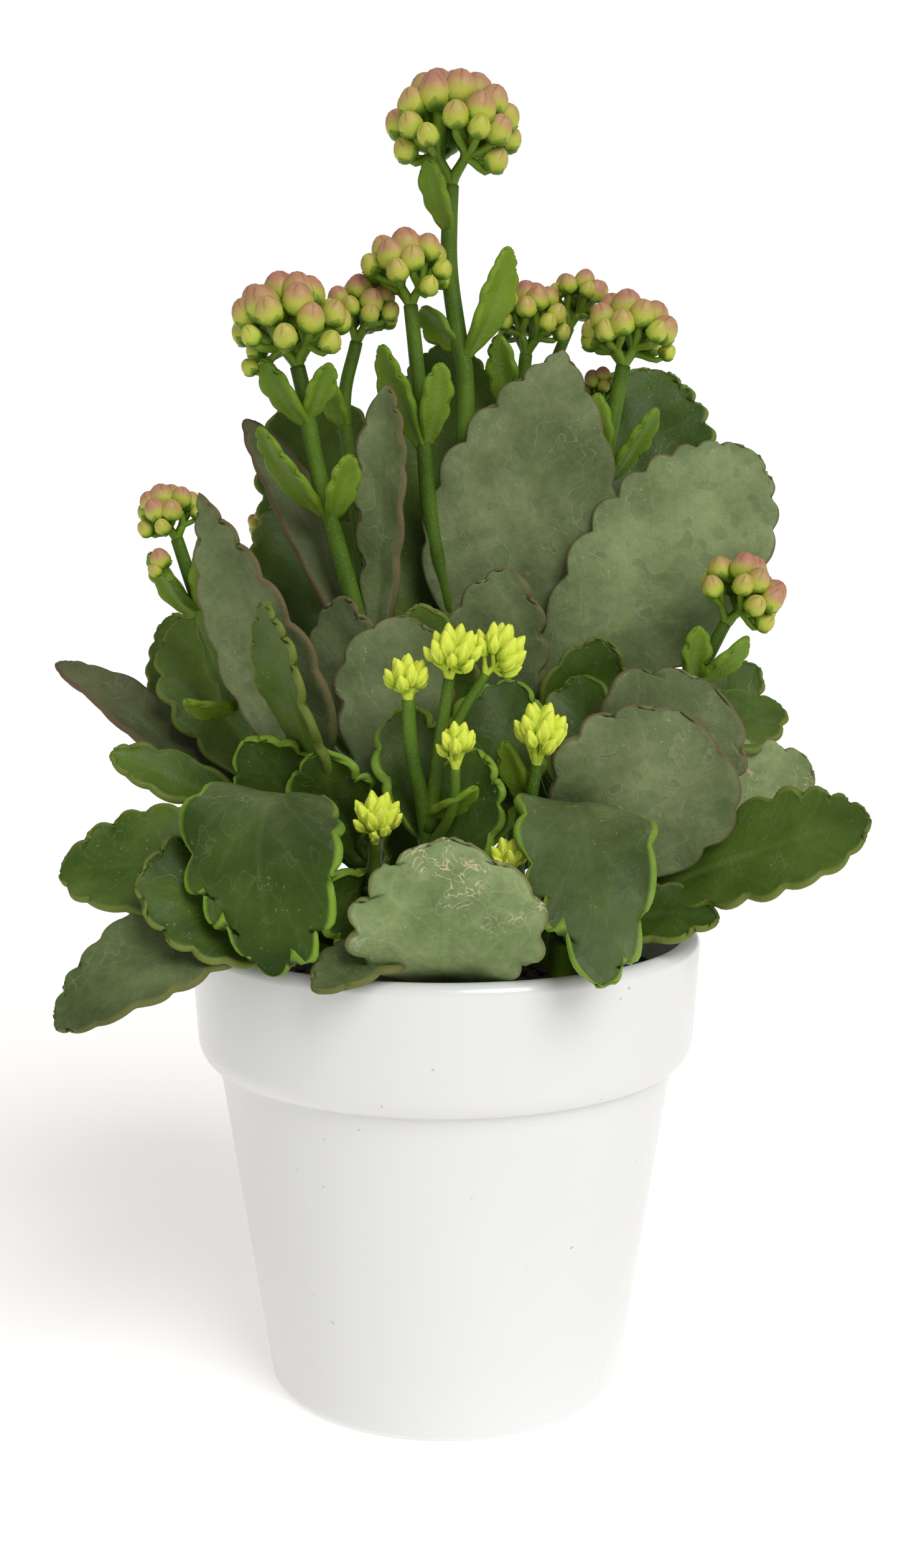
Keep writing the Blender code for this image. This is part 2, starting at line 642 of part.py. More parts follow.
def make_head(stem, collection, helpers, material):
    """Buds on a small round hub, whose neck comes down to the end of its stalk."""
    head = stem.head
    centre = Vector(head.centre)
    stalk_end = Vector(stalk_path(stem)[-1])
    up = (centre - stalk_end).normalized()
    turn = up.to_track_quat("Z", "Y")
    _, hub = bud_size(head)
    neck = [stalk_end + up * CLEARANCE, centre]
    body = make_tube(head.name + "_neck", neck, stem.top, stem.top, BRANCH_BEVEL, collection)
    ball = 2 * hub * HUB_SWELL
    make_ball("hub", centre, up, ball, ball * DOME_FLATTENING, helpers)
    for number, (way, width, distance) in enumerate(bud_places(head)):
        out = turn @ way
        make_ball(f"bud_{number}", centre + out * distance, out, width, width * head.length, helpers)
    made = fuse(head.name, body, helpers, collection)
    made.data.materials.append(material)


def build_plant():
    clear_scene()
    plant = new_collection("flowering_kalanchoe")
    cutters = new_collection("cutters")
    helpers = new_collection("helpers")
    make_pot(plant)
    make_peat(plant, cutters)
    green = new_material("leaf_green", (0.10, 0.19, 0.06), 0.42)
    for shoot in SHOOTS:
        make_shoot(shoot, plant, helpers, green)
    bud = new_material("bud_lime_pink", (0.45, 0.42, 0.20), 0.5)
    for shoot in SHOOTS:
        for stem in [shoot.stem, *shoot.branches]:
            if stem.head:
                make_head(stem, plant, helpers, bud)
    bpy.data.collections.remove(helpers)


build_plant()
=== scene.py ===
"""The looks of a flowering kalanchoe in bud, standing in a plain white glazed pot.

Sizes are in millimetres and become metres in the meshes. +Z is up and -Y is the plant's front.
"""

import math
import random
from collections import namedtuple

import bpy
import numpy as np
from mathutils import Matrix, Vector, noise


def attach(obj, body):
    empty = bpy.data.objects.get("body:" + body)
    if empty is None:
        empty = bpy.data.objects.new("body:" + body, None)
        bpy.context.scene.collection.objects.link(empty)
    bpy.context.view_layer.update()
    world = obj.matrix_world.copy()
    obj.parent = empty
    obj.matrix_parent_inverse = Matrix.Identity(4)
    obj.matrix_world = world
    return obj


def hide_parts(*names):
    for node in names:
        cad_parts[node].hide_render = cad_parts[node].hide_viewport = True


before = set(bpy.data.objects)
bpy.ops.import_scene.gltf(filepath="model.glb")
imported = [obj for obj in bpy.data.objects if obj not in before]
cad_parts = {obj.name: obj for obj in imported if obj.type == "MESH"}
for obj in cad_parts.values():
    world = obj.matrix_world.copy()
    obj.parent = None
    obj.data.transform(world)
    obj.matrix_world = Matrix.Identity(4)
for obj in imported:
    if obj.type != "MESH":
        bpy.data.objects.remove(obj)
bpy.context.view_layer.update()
bpy.ops.object.select_all(action="DESELECT")


# Pot: thick stoneware, thrown as a straight tapered body under a deep collar with a rounded rim.
# One closed wall. It starts as a ring at the inside foot, which is drawn up the inside, over the rim
# and down the outside to the foot, and its two ends are closed with discs.
MM = 0.001
POT_HEIGHT = 122.5
RIM_RADIUS = 67.5
COLLAR_BOTTOM = (66.0, 96.0)
COLLAR_ROUNDING = 7.5
BODY_TOP = (60.3, 88.5)
FOOT_RADIUS = 47.6
FOOT_ROUNDING = 3.5
FLOOR = 6.0
WALL = 5.6
POT_SIDES = 160
SHARP_EDGE = math.radians(40)
NEARLY = 0.01


def arc(centre, radii, start, end, steps):
    """Points on part of a round, between two angles in degrees, without the first one."""
    angles = [math.radians(start + (end - start) * step / steps) for step in range(1, steps + 1)]
    return [(centre[0] + radii[0] * math.cos(a), centre[1] + radii[1] * math.sin(a)) for a in angles]


def straight(start, end, steps):
    """Points evenly along a straight stretch, without the first one."""
    return [tuple(np.array(start) + (np.array(end) - start) * step / steps)
            for step in range(1, steps + 1)]


def start_ring(sides, radius, height):
    """A new object with one open ring, selected for editing."""
    bpy.ops.mesh.primitive_circle_add(vertices=sides, radius=radius * MM,
                                      location=(0, 0, height * MM), fill_type="NOTHING")
    bpy.ops.object.transform_apply(location=True)
    bpy.ops.object.mode_set(mode="EDIT")
    bpy.ops.mesh.select_all(action="SELECT")
    return bpy.context.object


def draw_ring(rise, height, grow):
    """Draw the selected ring out by a rise to a height, and make it wider by a factor."""
    bpy.ops.mesh.extrude_region_move(TRANSFORM_OT_translate={"value": (0, 0, rise * MM)})
    bpy.ops.transform.resize(value=(grow, grow, 1), center_override=(0, 0, height * MM))


def select_edges(item, chosen):
    """Select the edges whose ends both pass a test on their distance from the middle and height."""
    bpy.ops.object.mode_set(mode="OBJECT")
    for edge in item.data.edges:
        ends = [item.data.vertices[end].co / MM for end in edge.vertices]
        edge.select = all(chosen(math.hypot(end.x, end.y), end.z) for end in ends)
    bpy.ops.object.mode_set(mode="EDIT")
    bpy.ops.mesh.select_mode(type="EDGE")


def close_up():
    """Close the selected ring with a disc, turn all faces outwards and stop editing."""
    bpy.ops.mesh.edge_face_add()
    bpy.ops.mesh.select_all(action="SELECT")
    bpy.ops.mesh.normals_make_consistent(inside=False)
    bpy.ops.object.mode_set(mode="OBJECT")


inside_foot = (FOOT_RADIUS - WALL - FOOT_ROUNDING, FLOOR)
inside_corner = (FOOT_RADIUS - WALL, FLOOR + FOOT_ROUNDING)
inside_shoulder = (BODY_TOP[0] - WALL, BODY_TOP[1] - WALL)
inside_collar = (COLLAR_BOTTOM[0] - WALL, BODY_TOP[1])
rim_centre = (RIM_RADIUS - WALL / 2, POT_HEIGHT - WALL / 2)
inside_rim = (RIM_RADIUS - WALL, rim_centre[1])
foot_radii = (FOOT_ROUNDING, FOOT_ROUNDING)
collar_radii = (COLLAR_BOTTOM[0] - BODY_TOP[0], COLLAR_ROUNDING)
under_collar = (BODY_TOP[0] + 0.2, BODY_TOP[1] - 0.3)
outline = [inside_foot]
outline += arc((inside_foot[0], inside_corner[1]), foot_radii, -90, 0, 5)
outline += straight(inside_corner, inside_shoulder, 10)
outline += straight(inside_shoulder, inside_collar, 3)
outline += straight(inside_collar, inside_rim, 4)
outline += arc(rim_centre, (WALL / 2, WALL / 2), 180, 0, 14)
outline += straight((RIM_RADIUS, rim_centre[1]), COLLAR_BOTTOM, 6)
outline += arc((BODY_TOP[0], COLLAR_BOTTOM[1]), collar_radii, 0, -84, 10)
outline += straight(under_collar, (FOOT_RADIUS, FOOT_ROUNDING), 14)
outline += arc((FOOT_RADIUS - FOOT_ROUNDING, FOOT_ROUNDING), foot_radii, 0, -90, 6)

pot = start_ring(POT_SIDES, *inside_foot)
pot.name = "glazed_pot"
for (radius, height), (next_radius, next_height) in zip(outline, outline[1:]):
    draw_ring(next_height - height, next_height, next_radius / radius)
bpy.ops.mesh.edge_face_add()
bpy.ops.mesh.select_all(action="DESELECT")
select_edges(pot, lambda out, height: out < inside_foot[0] + NEARLY and height > FLOOR - NEARLY)
close_up()
bpy.ops.object.shade_smooth_by_angle(angle=SHARP_EDGE)


class Wire:
    """A socket of a material's nodes; sums and products of wires and numbers add Math nodes."""

    def __init__(self, tree, socket):
        self.tree = tree
        self.socket = socket

    def node(self, kind, settings, inputs, output=0):
        """A node with its settings made first, then its sockets' values or links, as a new wire."""
        made = self.tree.nodes.new(kind)
        for name, value in settings.items():
            setattr(made, name, value)
        for name, value in inputs.items():
            if isinstance(value, Wire):
                self.tree.links.new(value.socket, made.inputs[name])
            else:
                made.inputs[name].default_value = value
        return Wire(self.tree, made.outputs[output])

    def maths(self, operation, *values):
        return self.node("ShaderNodeMath", {"operation": operation}, dict(enumerate(values)))

    def __add__(self, other):
        return self.maths("ADD", self, other)

    def __sub__(self, other):
        return self.maths("SUBTRACT", self, other)

    def __rsub__(self, other):
        return self.maths("SUBTRACT", other, self)

    def __mul__(self, other):
        return self.maths("MULTIPLY", self, other)

    def __abs__(self):
        return self.maths("ABSOLUTE", self)

    __radd__ = __add__
    __rmul__ = __mul__

    def step(self, start, end):
        """A soft step, 0 at the start value and 1 at the end value."""
        smooth = {"interpolation_type": "SMOOTHSTEP"}
        return self.node("ShaderNodeMapRange", smooth, {0: self, 1: start, 2: end})

    def mix(self, first, second):
        """A colour, the first where this wire is 0 and the second where it is 1."""
        inputs = {0: self, 6: first, 7: second}
        return self.node("ShaderNodeMix", {"data_type": "RGBA"}, inputs, output=2)

    def noise(self, scale, detail, roughness=0.5, distortion=0.0):
        """Cloudy noise round the middle value at this place, with a scale in waves per metre."""
        return self.node("ShaderNodeTexNoise", {}, {
            "Vector": self, "Scale": scale, "Detail": detail, "Roughness": roughness,
            "Distortion": distortion})

    def attribute(self, name):
        """A number that is written on the mesh's points."""
        return self.node("ShaderNodeAttribute", {"attribute_name": name}, {}, output=2)

    def times(self, factor):
        """A colour made lighter or darker all over by a factor."""
        return self.node("ShaderNodeVectorMath", {"operation": "SCALE"}, {0: self, 3: factor})

    def bump(self, strength, depth):
        """A normal from this wire's height, with the depth in metres."""
        inputs = {"Height": self, "Strength": strength, "Distance": depth}
        return self.node("ShaderNodeBump", {}, inputs)


def new_material(name):
    """A material, its shader and a wire with the place in the object."""
    made = bpy.data.materials.new(name)
    made.use_nodes = True
    shader = made.node_tree.nodes["Principled BSDF"]
    place = made.node_tree.nodes.new("ShaderNodeTexCoord")
    return made, shader, Wire(made.node_tree, place.outputs["Object"])


def feed(shader, **wires):
    """Join wires to the shader's sockets, whose names are given with underscores."""
    for name, wire in wires.items():
        wire.tree.links.new(wire.socket, shader.inputs[name.replace("_", " ").title()])


def colour(red, green, blue):
    return (red, green, blue, 1.0)


glaze, shader, place = new_material("white_glaze")
cloud = place.noise(28, 2)
speck = place.noise(700, 0).step(0.83, 0.85) * place.noise(45, 0).step(0.62, 0.66)
white = cloud.mix(colour(0.730, 0.733, 0.735), colour(0.760, 0.763, 0.765))
feed(shader, base_color=(speck * 0.6).mix(white, colour(0.35, 0.30, 0.24)),
     roughness=0.20 + 0.10 * place.noise(90, 3), normal=place.noise(160, 2).bump(0.12, 0.0004))
shader.inputs["Coat Weight"].default_value = 0.35
shader.inputs["Coat Roughness"].default_value = 0.08
pot.data.materials.append(glaze)
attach(pot, "root")
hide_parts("pot")


# Peat: dark damp potting peat, firmed by hand to a little under the rim and slightly crowned.
# A round cake, its top drawn in rings and then roughened, with loose crumbs half sunk in it.
PEAT_TOP = 109.0
PEAT_CROWN = 2.0
PEAT_RADIUS = 59.8
PEAT_DEPTH = 30.0
PEAT_TAPER = 0.88
PEAT_SIDES = 128
PEAT_RINGS = 44
EDGE_LEFT_PLAIN = 0.995
LUMP_HEIGHT = 2.2
LUMPS_PER_METRE = 110
CRUMBS = 240
CRUMB_SPREAD = 0.97


def join(items, name):
    """One object of several, under a new name."""
    bpy.ops.object.select_all(action="DESELECT")
    for item in items:
        item.select_set(True)
    bpy.context.view_layer.objects.active = items[0]
    bpy.ops.object.join()
    items[0].name = name
    return items[0]


peat = start_ring(PEAT_SIDES, PEAT_RADIUS, PEAT_TOP)
for ring in range(PEAT_RINGS, 1, -1):
    draw_ring(0, PEAT_TOP, (ring - 1) / ring)
bpy.ops.mesh.edge_face_add()
# The small middle disc is still selected, so it goes down too and leaves a narrow shaft.
select_edges(peat, lambda out, height: out > PEAT_RADIUS - NEARLY)
draw_ring(-PEAT_DEPTH, PEAT_TOP - PEAT_DEPTH, PEAT_TAPER)
close_up()
for vertex in peat.data.vertices:
    out = math.hypot(vertex.co.x, vertex.co.y) / (PEAT_RADIUS * MM)
    if vertex.co.z > (PEAT_TOP - 1) * MM and out < EDGE_LEFT_PLAIN:
        lumps = noise.turbulence(vertex.co * LUMPS_PER_METRE, 4, False) - 0.35
        vertex.co.z += (PEAT_CROWN * (1 - out) + LUMP_HEIGHT * lumps) * MM
bpy.ops.object.shade_smooth()

chance = random.Random("crumbs")
crumbs = [peat]
for _ in range(CRUMBS):
    reach, turn = math.sqrt(chance.random()) * CRUMB_SPREAD, chance.uniform(0, 2 * math.pi)
    centre = Vector((reach * math.cos(turn), reach * math.sin(turn), 0)) * PEAT_RADIUS
    centre.z = PEAT_TOP + PEAT_CROWN * (1 - reach) + chance.uniform(-0.4, 0.5)
    bpy.ops.mesh.primitive_ico_sphere_add(subdivisions=1, radius=chance.uniform(0.6, 1.7) * MM,
                                          location=centre * MM)
    crumb = bpy.context.object
    crumb.scale = (chance.uniform(0.7, 1.5), chance.uniform(0.6, 1.0), chance.uniform(0.5, 0.9))
    crumb.rotation_euler = (chance.uniform(-0.5, 0.5), chance.uniform(-0.5, 0.5),
                            chance.uniform(0, 6))
    crumbs.append(crumb)
join(crumbs, "peat_cake")

soil, shader, place = new_material("peat")
fibre = place.noise(700, 6, 0.7)
lump = place.noise(160, 3)
earth = (fibre * 1.2 + lump - 0.6).mix(colour(0.012, 0.008, 0.005), colour(0.085, 0.055, 0.032))
feed(shader, base_color=earth, roughness=0.80 + 0.15 * lump,
     normal=(fibre + lump).bump(0.8, 0.0015))
peat.data.materials.append(soil)
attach(peat, "root")
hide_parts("peat")


# Stems: nine leafy shoots stand in the peat and branch into bud stalks near their tops.
# Each is a round green rod that tapers upwards, drawn along a smooth line through its places,
# with a small swelling wherever a leaf leaves it.

# A leaf leaves its stem at a height and reaches to its tip, facing one way. It is arched and swayed
# over its length, cupped and waved over its width, and widest a part of the way along its blade.
WIDEST = 0.62
Leaf = namedtuple("Leaf", "at tip width face kind arch sway cup wave lobes stalk widest",
                  defaults=("fresh", 3.0, 0.0, 2.0, 0.0, 3, 0.25, WIDEST))
Bract = namedtuple("Bract", "root tip width arch", defaults=(1.5,))
# A head's neck is the bare length between its stalk's end and its centre, and its length is how many
# times longer than wide its buds are. A stem's low and top are its radii.
Head = namedtuple("Head", "name centre neck reach buds length", defaults=(1.45,))
Stem = namedtuple("Stem", "points low top head", defaults=(None,))
Shoot = namedtuple("Shoot", "name stem branches leaves bracts")

left = Shoot(
    "shoot_left",
    Stem([(-30, 0, 112), (-37, 0, 138), (-49, 1, 168), (-55, 2, 182), (-61, 2, 197),
          (-66, 2, 212)], 3.4, 1.7, Head("buds_left_top", (-72, 2, 231), 6, 10, 6)),
    [Stem([(-64, 2, 207), (-68, -3, 210)], 1.3, 1.1,
          Head("bud_left_side", (-73, -6, 219), 5, 5, 1))],
    [
        Leaf(120, (-107, 22, 192), 19, (-0.35, -0.06, 0.93), "brown", 8, 0, 3),
        Leaf(144, (-86, -16, 171), 15, (-0.2, -0.7, 0.7)),
        Leaf(152, (-58, -2, 218), 22, (-0.75, -0.65, 0)),
        Leaf(145, (-72, 18, 204), 29, (0.1, -1, 0.15), "fresh", 0),
        Leaf(130, (-78, 32, 204), 30, (-0.3, -0.9, 0.1), "fresh", 0),
    ],
    [
        Bract((-65, 2, 205), (-78, 3, 222), 6),
        Bract((-64, 1, 207), (-62, -5, 224), 5),
        Bract((-55, 1, 181), (-68, -9, 184), 6),
    ],
)

left_back = Shoot(
    "shoot_left_back",
    Stem([(-12, 8, 112), (-15, 4, 150), (-19, 0, 187), (-23, 0, 204), (-28, 0, 223),
          (-34, 0, 247), (-36, 0, 260)], 3.5, 2.0,
         Head("buds_left_back_top", (-40, 0, 278), 9, 17, 11)),
    [
        Stem([(-15.5, 5, 158), (-19, 12, 185), (-22, 16, 215), (-25, 17, 240), (-27, 17, 262)],
             2.4, 1.7, Head("buds_left_back_inner", (-22, 17, 285), 8, 11, 6)),
        Stem([(-22, 16, 220), (-20, 17, 230)], 1.4, 1.2,
             Head("buds_left_back_low", (-19, 17, 244), 6, 6, 4)),
    ],
    [
        Leaf(168, (-53, 10, 257), 13, (0.3, -0.9, 0.3), "brown", 2, -5),
        Leaf(138, (-44, 36, 238), 36, (0.2, -0.9, 0.1), "fresh", 0),
        Leaf(174, (-15, 0, 265), 15, (-0.5, -0.85, 0), "dusty", 1),
        Leaf(150, (-27, -5, 211), 24, (-0.6, -0.8, 0), "dusty"),
    ],
    [
        Bract((-31, 0, 231), (-48, -6, 254), 7),
        Bract((-30, 0, 230), (-24, -8, 247), 6),
        Bract((-35, 0, 254), (-47, -4, 271), 6),
        Bract((-36, 0, 256), (-29, -6, 270), 5),
        Bract((-27, 17, 255), (-33, 12, 270), 5),
    ],
)

centre = Shoot(
    "shoot_centre",
    Stem([(6, 16, 112), (5, 17, 180), (5, 18, 243), (5, 18, 269), (3, 19, 281), (1, 20, 297),
          (1, 20, 308)], 3.6, 2.1, Head("buds_centre_top", (2, 20, 331), 13, 19, 13)),
    [
        Stem([(5, 17, 190), (0, 14, 212), (-4, 13, 231), (-6, 12, 254), (-8, 12, 275)],
             2.4, 1.9, Head("buds_centre_left", (-10, 12, 294), 8, 13.5, 7)),
        Stem([(5, 18, 215), (12, 26, 240), (20, 28, 262)], 2.2, 1.8,
             Head("buds_centre_right", (23, 28, 284), 9, 12, 7)),
        Stem([(14, 26, 245), (26, 31, 265)], 1.8, 1.5,
             Head("buds_centre_right_back", (37, 35, 290), 8, 10, 6)),
    ],
    [
        Leaf(128, (0, 34, 279), 41, (0, -1, 0.1)),
        Leaf(118, (14, 44, 274), 34, (0.1, -1, 0.1)),
        Leaf(168, (31, 10, 275), 50, (-0.1, -1, 0.1), "dusty", 2, 0, 1, 0, 5, widest=0.42),
        Leaf(150, (81, 4, 248), 46, (0, -1, 0.2), "silver", 5, 0, 1, 0, 5),
        Leaf(115, (-6, -8, 158), 30, (0, -1, 0.1), "glossy"),
        Leaf(125, (-7, -9, 209), 24, (0.2, -1, 0.1)),
        Leaf(140, (16, -6, 218), 28, (-0.1, -1, 0.1), "dusty"),
    ],
    [
        Bract((5, 18, 273), (17, 15, 302), 8, 3),
        Bract((5, 18, 275), (-7, 26, 287), 6),
        Bract((1, 20, 306), (-5, 12, 324), 5),
        Bract((-6, 12, 249), (-17, 8, 276), 7),
        Bract((-5, 12, 250), (-1, 4, 271), 6),
        Bract((18, 28, 257), (14, 20, 280), 6),
    ],
)

right_back = Shoot(
    "shoot_right_back",
    Stem([(25, 10, 112), (26, 10, 140), (30, 13, 180), (38, 17, 223), (41, 18, 236),
          (45, 19, 258)], 3.5, 2.0, Head("buds_right_top", (49, 20, 279), 8, 14, 7)),
    [Stem([(33, 14, 195), (36, 24, 225), (39, 28, 246)], 1.8, 1.4,
          Head("buds_right_back", (43, 30, 266), 8, 7, 5))],
    [
        Leaf(185, (61, 50, 273), 44, (-0.1, -1, 0.1), "deep", 0, 0, 3, 0, 4),
        Leaf(140, (41, -7, 200), 25, (0, -1, 0.1)),
        Leaf(128, (86, 24, 191), 24, (-0.1, -0.9, 0.4)),
    ],
    [
        Bract((41, 18, 237), (40, 12, 264), 6),
        Bract((42, 18, 240), (56, 11, 260), 6),
    ],
)

right_front = Shoot(
    "shoot_right_front",
    Stem([(30, -12, 112), (33, -15, 135), (43, -16, 162), (56, -14, 179), (64, -13, 190)],
         3.4, 1.6, Head("buds_right_front_top", (75, -14, 211), 8, 12.5, 7)),
    [
        Stem([(31, -13, 124), (27, -27, 142), (21, -40, 159)], 2.0, 1.5,
             Head("buds_right_front_inner", (23, -44, 179), 8, 8.5, 6, 1.5)),
        Stem([(31, -14, 126), (20, -36, 132), (16, -46, 138)], 1.5, 1.2,
             Head("buds_right_front_low", (15, -52, 150), 6, 6, 4, 1.6)),
    ],
    [
        Leaf(160, (90, 8, 181), 22, (-0.1, -0.7, 0.7)),
        Leaf(150, (66, -24, 190), 40, (0.1, -1, 0.1), "dusty"),
        Leaf(124, (57, -36, 184), 48, (0.1, -1, 0.1), "dusty", 5, 0, 3, 0, 4),
        Leaf(134, (95, -8, 168), 28, (-0.1, -0.9, 0.4), "pale", 2, 0, 2, 0, 4),
        Leaf(125, (104, -40, 158), 27, (0.2, -0.8, 0.6), "fresh", 4, 0, 2, 0, 4),
        Leaf(119, (68, -37, 132), 18, (0.1, -0.7, 0.7), "deep", 7),
        Leaf(142, (35, -12, 191), 22, (-0.1, -1, 0.1)),
        Leaf(118, (36, -76, 124), 33, (0, -0.3, 0.95), "glossy", 40, 0, 0, 2, 4),
    ],
    [
        Bract((63, -13, 189), (64, -18, 204), 5),
        Bract((64, -13, 189), (77, -18, 201), 5),
        Bract((21, -34, 160), (14, -39, 177), 5),
        Bract((20, -38, 155), (33, -45, 161), 7),
    ],
)

front_left = Shoot(
    "shoot_front_left",
    Stem([(-22, -22, 112), (-21, -20, 130), (-20, -17, 150)], 3.4, 2.4),
    [
        Stem([(-21, -20, 128), (-18, -40, 138)], 1.8, 1.4,
             Head("buds_front_left_low", (-16, -55, 160), 8, 7.5, 6, 1.5)),
    ],
    [
        Leaf(148, (-61, -24, 237), 27, (-0.6, -0.75, 0.3), "dusty", 3, 0, 3, 0, 4, widest=0.4),
        Leaf(132, (-96, -33, 143), 34, (-0.1, -0.7, 0.75), "fresh", 8, 0, 3, 0, 4),
        Leaf(120, (-73, -57, 144), 37, (-0.2, -0.8, 0.6), "deep", 7),
        Leaf(122, (-92, -62, 111), 28, (0.1, -0.5, 0.85), "dull", 17),
        Leaf(142, (-39, -70, 125), 42, (-0.1, -0.3, 0.95), "glossy", 31, -9, 0, 2, 4),
        Leaf(140, (-50, -30, 176), 22, (-0.3, -0.9, 0.2), "glossy"),
        Leaf(142, (-31, -36, 174), 22, (-0.2, -0.9, 0.2), "glossy"),
        Leaf(118, (-28, -54, 145), 20, (0.1, -0.8, 0.5), "glossy"),
        Leaf(144, (-43, -44, 211), 20, (-0.75, -0.6, 0)),
        Leaf(146, (-9, -14, 206), 30, (-0.1, -1, 0.1), "dusty"),
    ],
    [],
)

front_centre = Shoot(
    "shoot_front_centre",
    Stem([(0, -30, 112), (-3, -38, 140), (-5, -42, 160), (-8, -44, 175)], 3.2, 1.6,
         Head("buds_front_left_stalk", (-9, -45, 192), 5, 7, 5, 1.6)),
    [
        Stem([(-4, -42, 155), (-1, -44, 178)], 1.8, 1.4,
             Head("buds_front_middle_stalk", (2, -46, 198), 6, 8.5, 6, 1.6)),
        Stem([(-2, -43, 172), (5, -42, 185)], 1.4, 1.2,
             Head("buds_front_right_stalk", (13, -42, 198), 6, 8.5, 6, 1.6)),
        Stem([(-4, -42, 150), (2, -49, 162)], 1.4, 1.2,
             Head("buds_front_low_stalk", (3, -52, 177), 6, 6.5, 4, 1.6)),
    ],
    [
        Leaf(117, (1, -72, 158), 46, (0, -0.7, -0.7), "pale", 15, 0, 2, 0, 4),
        Leaf(115, (-30, -75, 123), 16, (-0.1, -0.6, 0.8), "dull", 8),
        Leaf(126, (8, -40, 175), 20, (-0.2, -1, 0.1), "glossy"),
        Leaf(140, (-10, -27, 184), 20, (0.1, -1, 0.1), "glossy"),
        Leaf(128, (18, -20, 190), 27, (-0.1, -1, 0.2), "glossy"),
    ],
    [Bract((-4, -42, 159), (8, -50, 167), 5)],
)

back_left = Shoot(
    "shoot_back_left",
    Stem([(-14, 38, 112), (-18, 44, 160), (-22, 46, 205)], 3.4, 1.9,
         Head("buds_back_left", (-24, 54, 233), 9, 12, 4)),
    [Stem([(-18, 44, 155), (-35, 49, 190), (-47, 50, 212)], 2.0, 1.4,
          Head("buds_left_back_outer", (-52, 50, 229), 7, 6, 4))],
    [
        Leaf(130, (-72, 70, 150), 36, (-0.3, 0.6, 0.75), "dusty", 10, lobes=2),
        Leaf(124, (-20, 98, 140), 38, (0, 0.7, 0.7), "fresh", 10, lobes=2),
        Leaf(118, (-52, 80, 118), 32, (-0.3, 0.5, 0.8), "dull", 15, lobes=2),
        Leaf(146, (-55, 76, 190), 34, (-0.5, 0.8, 0.3), "dusty", lobes=2),
        Leaf(162, (-18, 86, 205), 32, (0, 0.95, 0.3), "deep", lobes=2),
        Leaf(180, (-40, 64, 232), 28, (-0.4, 0.9, 0.2), "fresh", lobes=2),
        Leaf(150, (-39, 40, 268), 40, (0, -1, 0.1), "fresh", 0, lobes=4),
    ],
    [],
)

back_right = Shoot(
    "shoot_back_right",
    Stem([(18, 38, 112), (22, 44, 160), (26, 48, 198)], 3.4, 1.9,
         Head("buds_back_right", (29, 50, 225), 9, 12, 4)),
    [],
    [
        Leaf(130, (72, 68, 152), 36, (0.4, 0.6, 0.7), "fresh", 10, lobes=2),
        Leaf(124, (30, 98, 150), 38, (0.1, 0.7, 0.7), "dusty", 9, lobes=2),
        Leaf(118, (56, 78, 120), 30, (0.3, 0.5, 0.8), "dull", 15, lobes=2),
        Leaf(146, (58, 76, 195), 34, (0.5, 0.8, 0.3), "deep", lobes=2),
        Leaf(160, (22, 88, 208), 32, (0, 0.95, 0.3), "dusty", lobes=2),
        Leaf(180, (46, 68, 234), 28, (0.4, 0.9, 0.2), "fresh", lobes=2),
    ],
    [],
)

shoots = [left, left_back, centre, right_back, right_front, front_left, front_centre, back_left,
          back_right]
STEM_FOOT = 95.3
NODE_SWELL = 0.22
NODE_LENGTH = 2.6
ON_THE_STEM = 1.6


def unit(vector):
    """The vector made one long."""
    return vector / np.linalg.norm(vector)


def stalk_path(stem):
    """The places that a stem or stalk passes; one with a bud head ends short of it, aimed at it."""
    path = [np.array(point, float) for point in stem.points]
    if stem.head:
        centre = np.array(stem.head.centre, float)
        path.append(centre + unit(path[-1] - centre) * stem.head.neck)
    return path


def stem_path(stem):
    """The places that a main stem passes, from its foot straight down in the peat."""
    x, y, _ = stem.points[0]
    return [np.array((x, y, STEM_FOOT))] + stalk_path(stem)


def curve_to_mesh():
    """Turn the active curve into a mesh with closed ends."""
    bpy.ops.object.convert(target="MESH")
    bpy.ops.object.mode_set(mode="EDIT")
    bpy.ops.mesh.select_all(action="SELECT")
    bpy.ops.mesh.remove_doubles(threshold=0.00001)
    bpy.ops.mesh.normals_make_consistent(inside=False)
    bpy.ops.object.mode_set(mode="OBJECT")


def point_at_height(path, height):
    """The place where a path passes a height."""
    places = np.array(path)
    return np.array([np.interp(height, places[:, 2], places[:, axis]) for axis in range(3)])


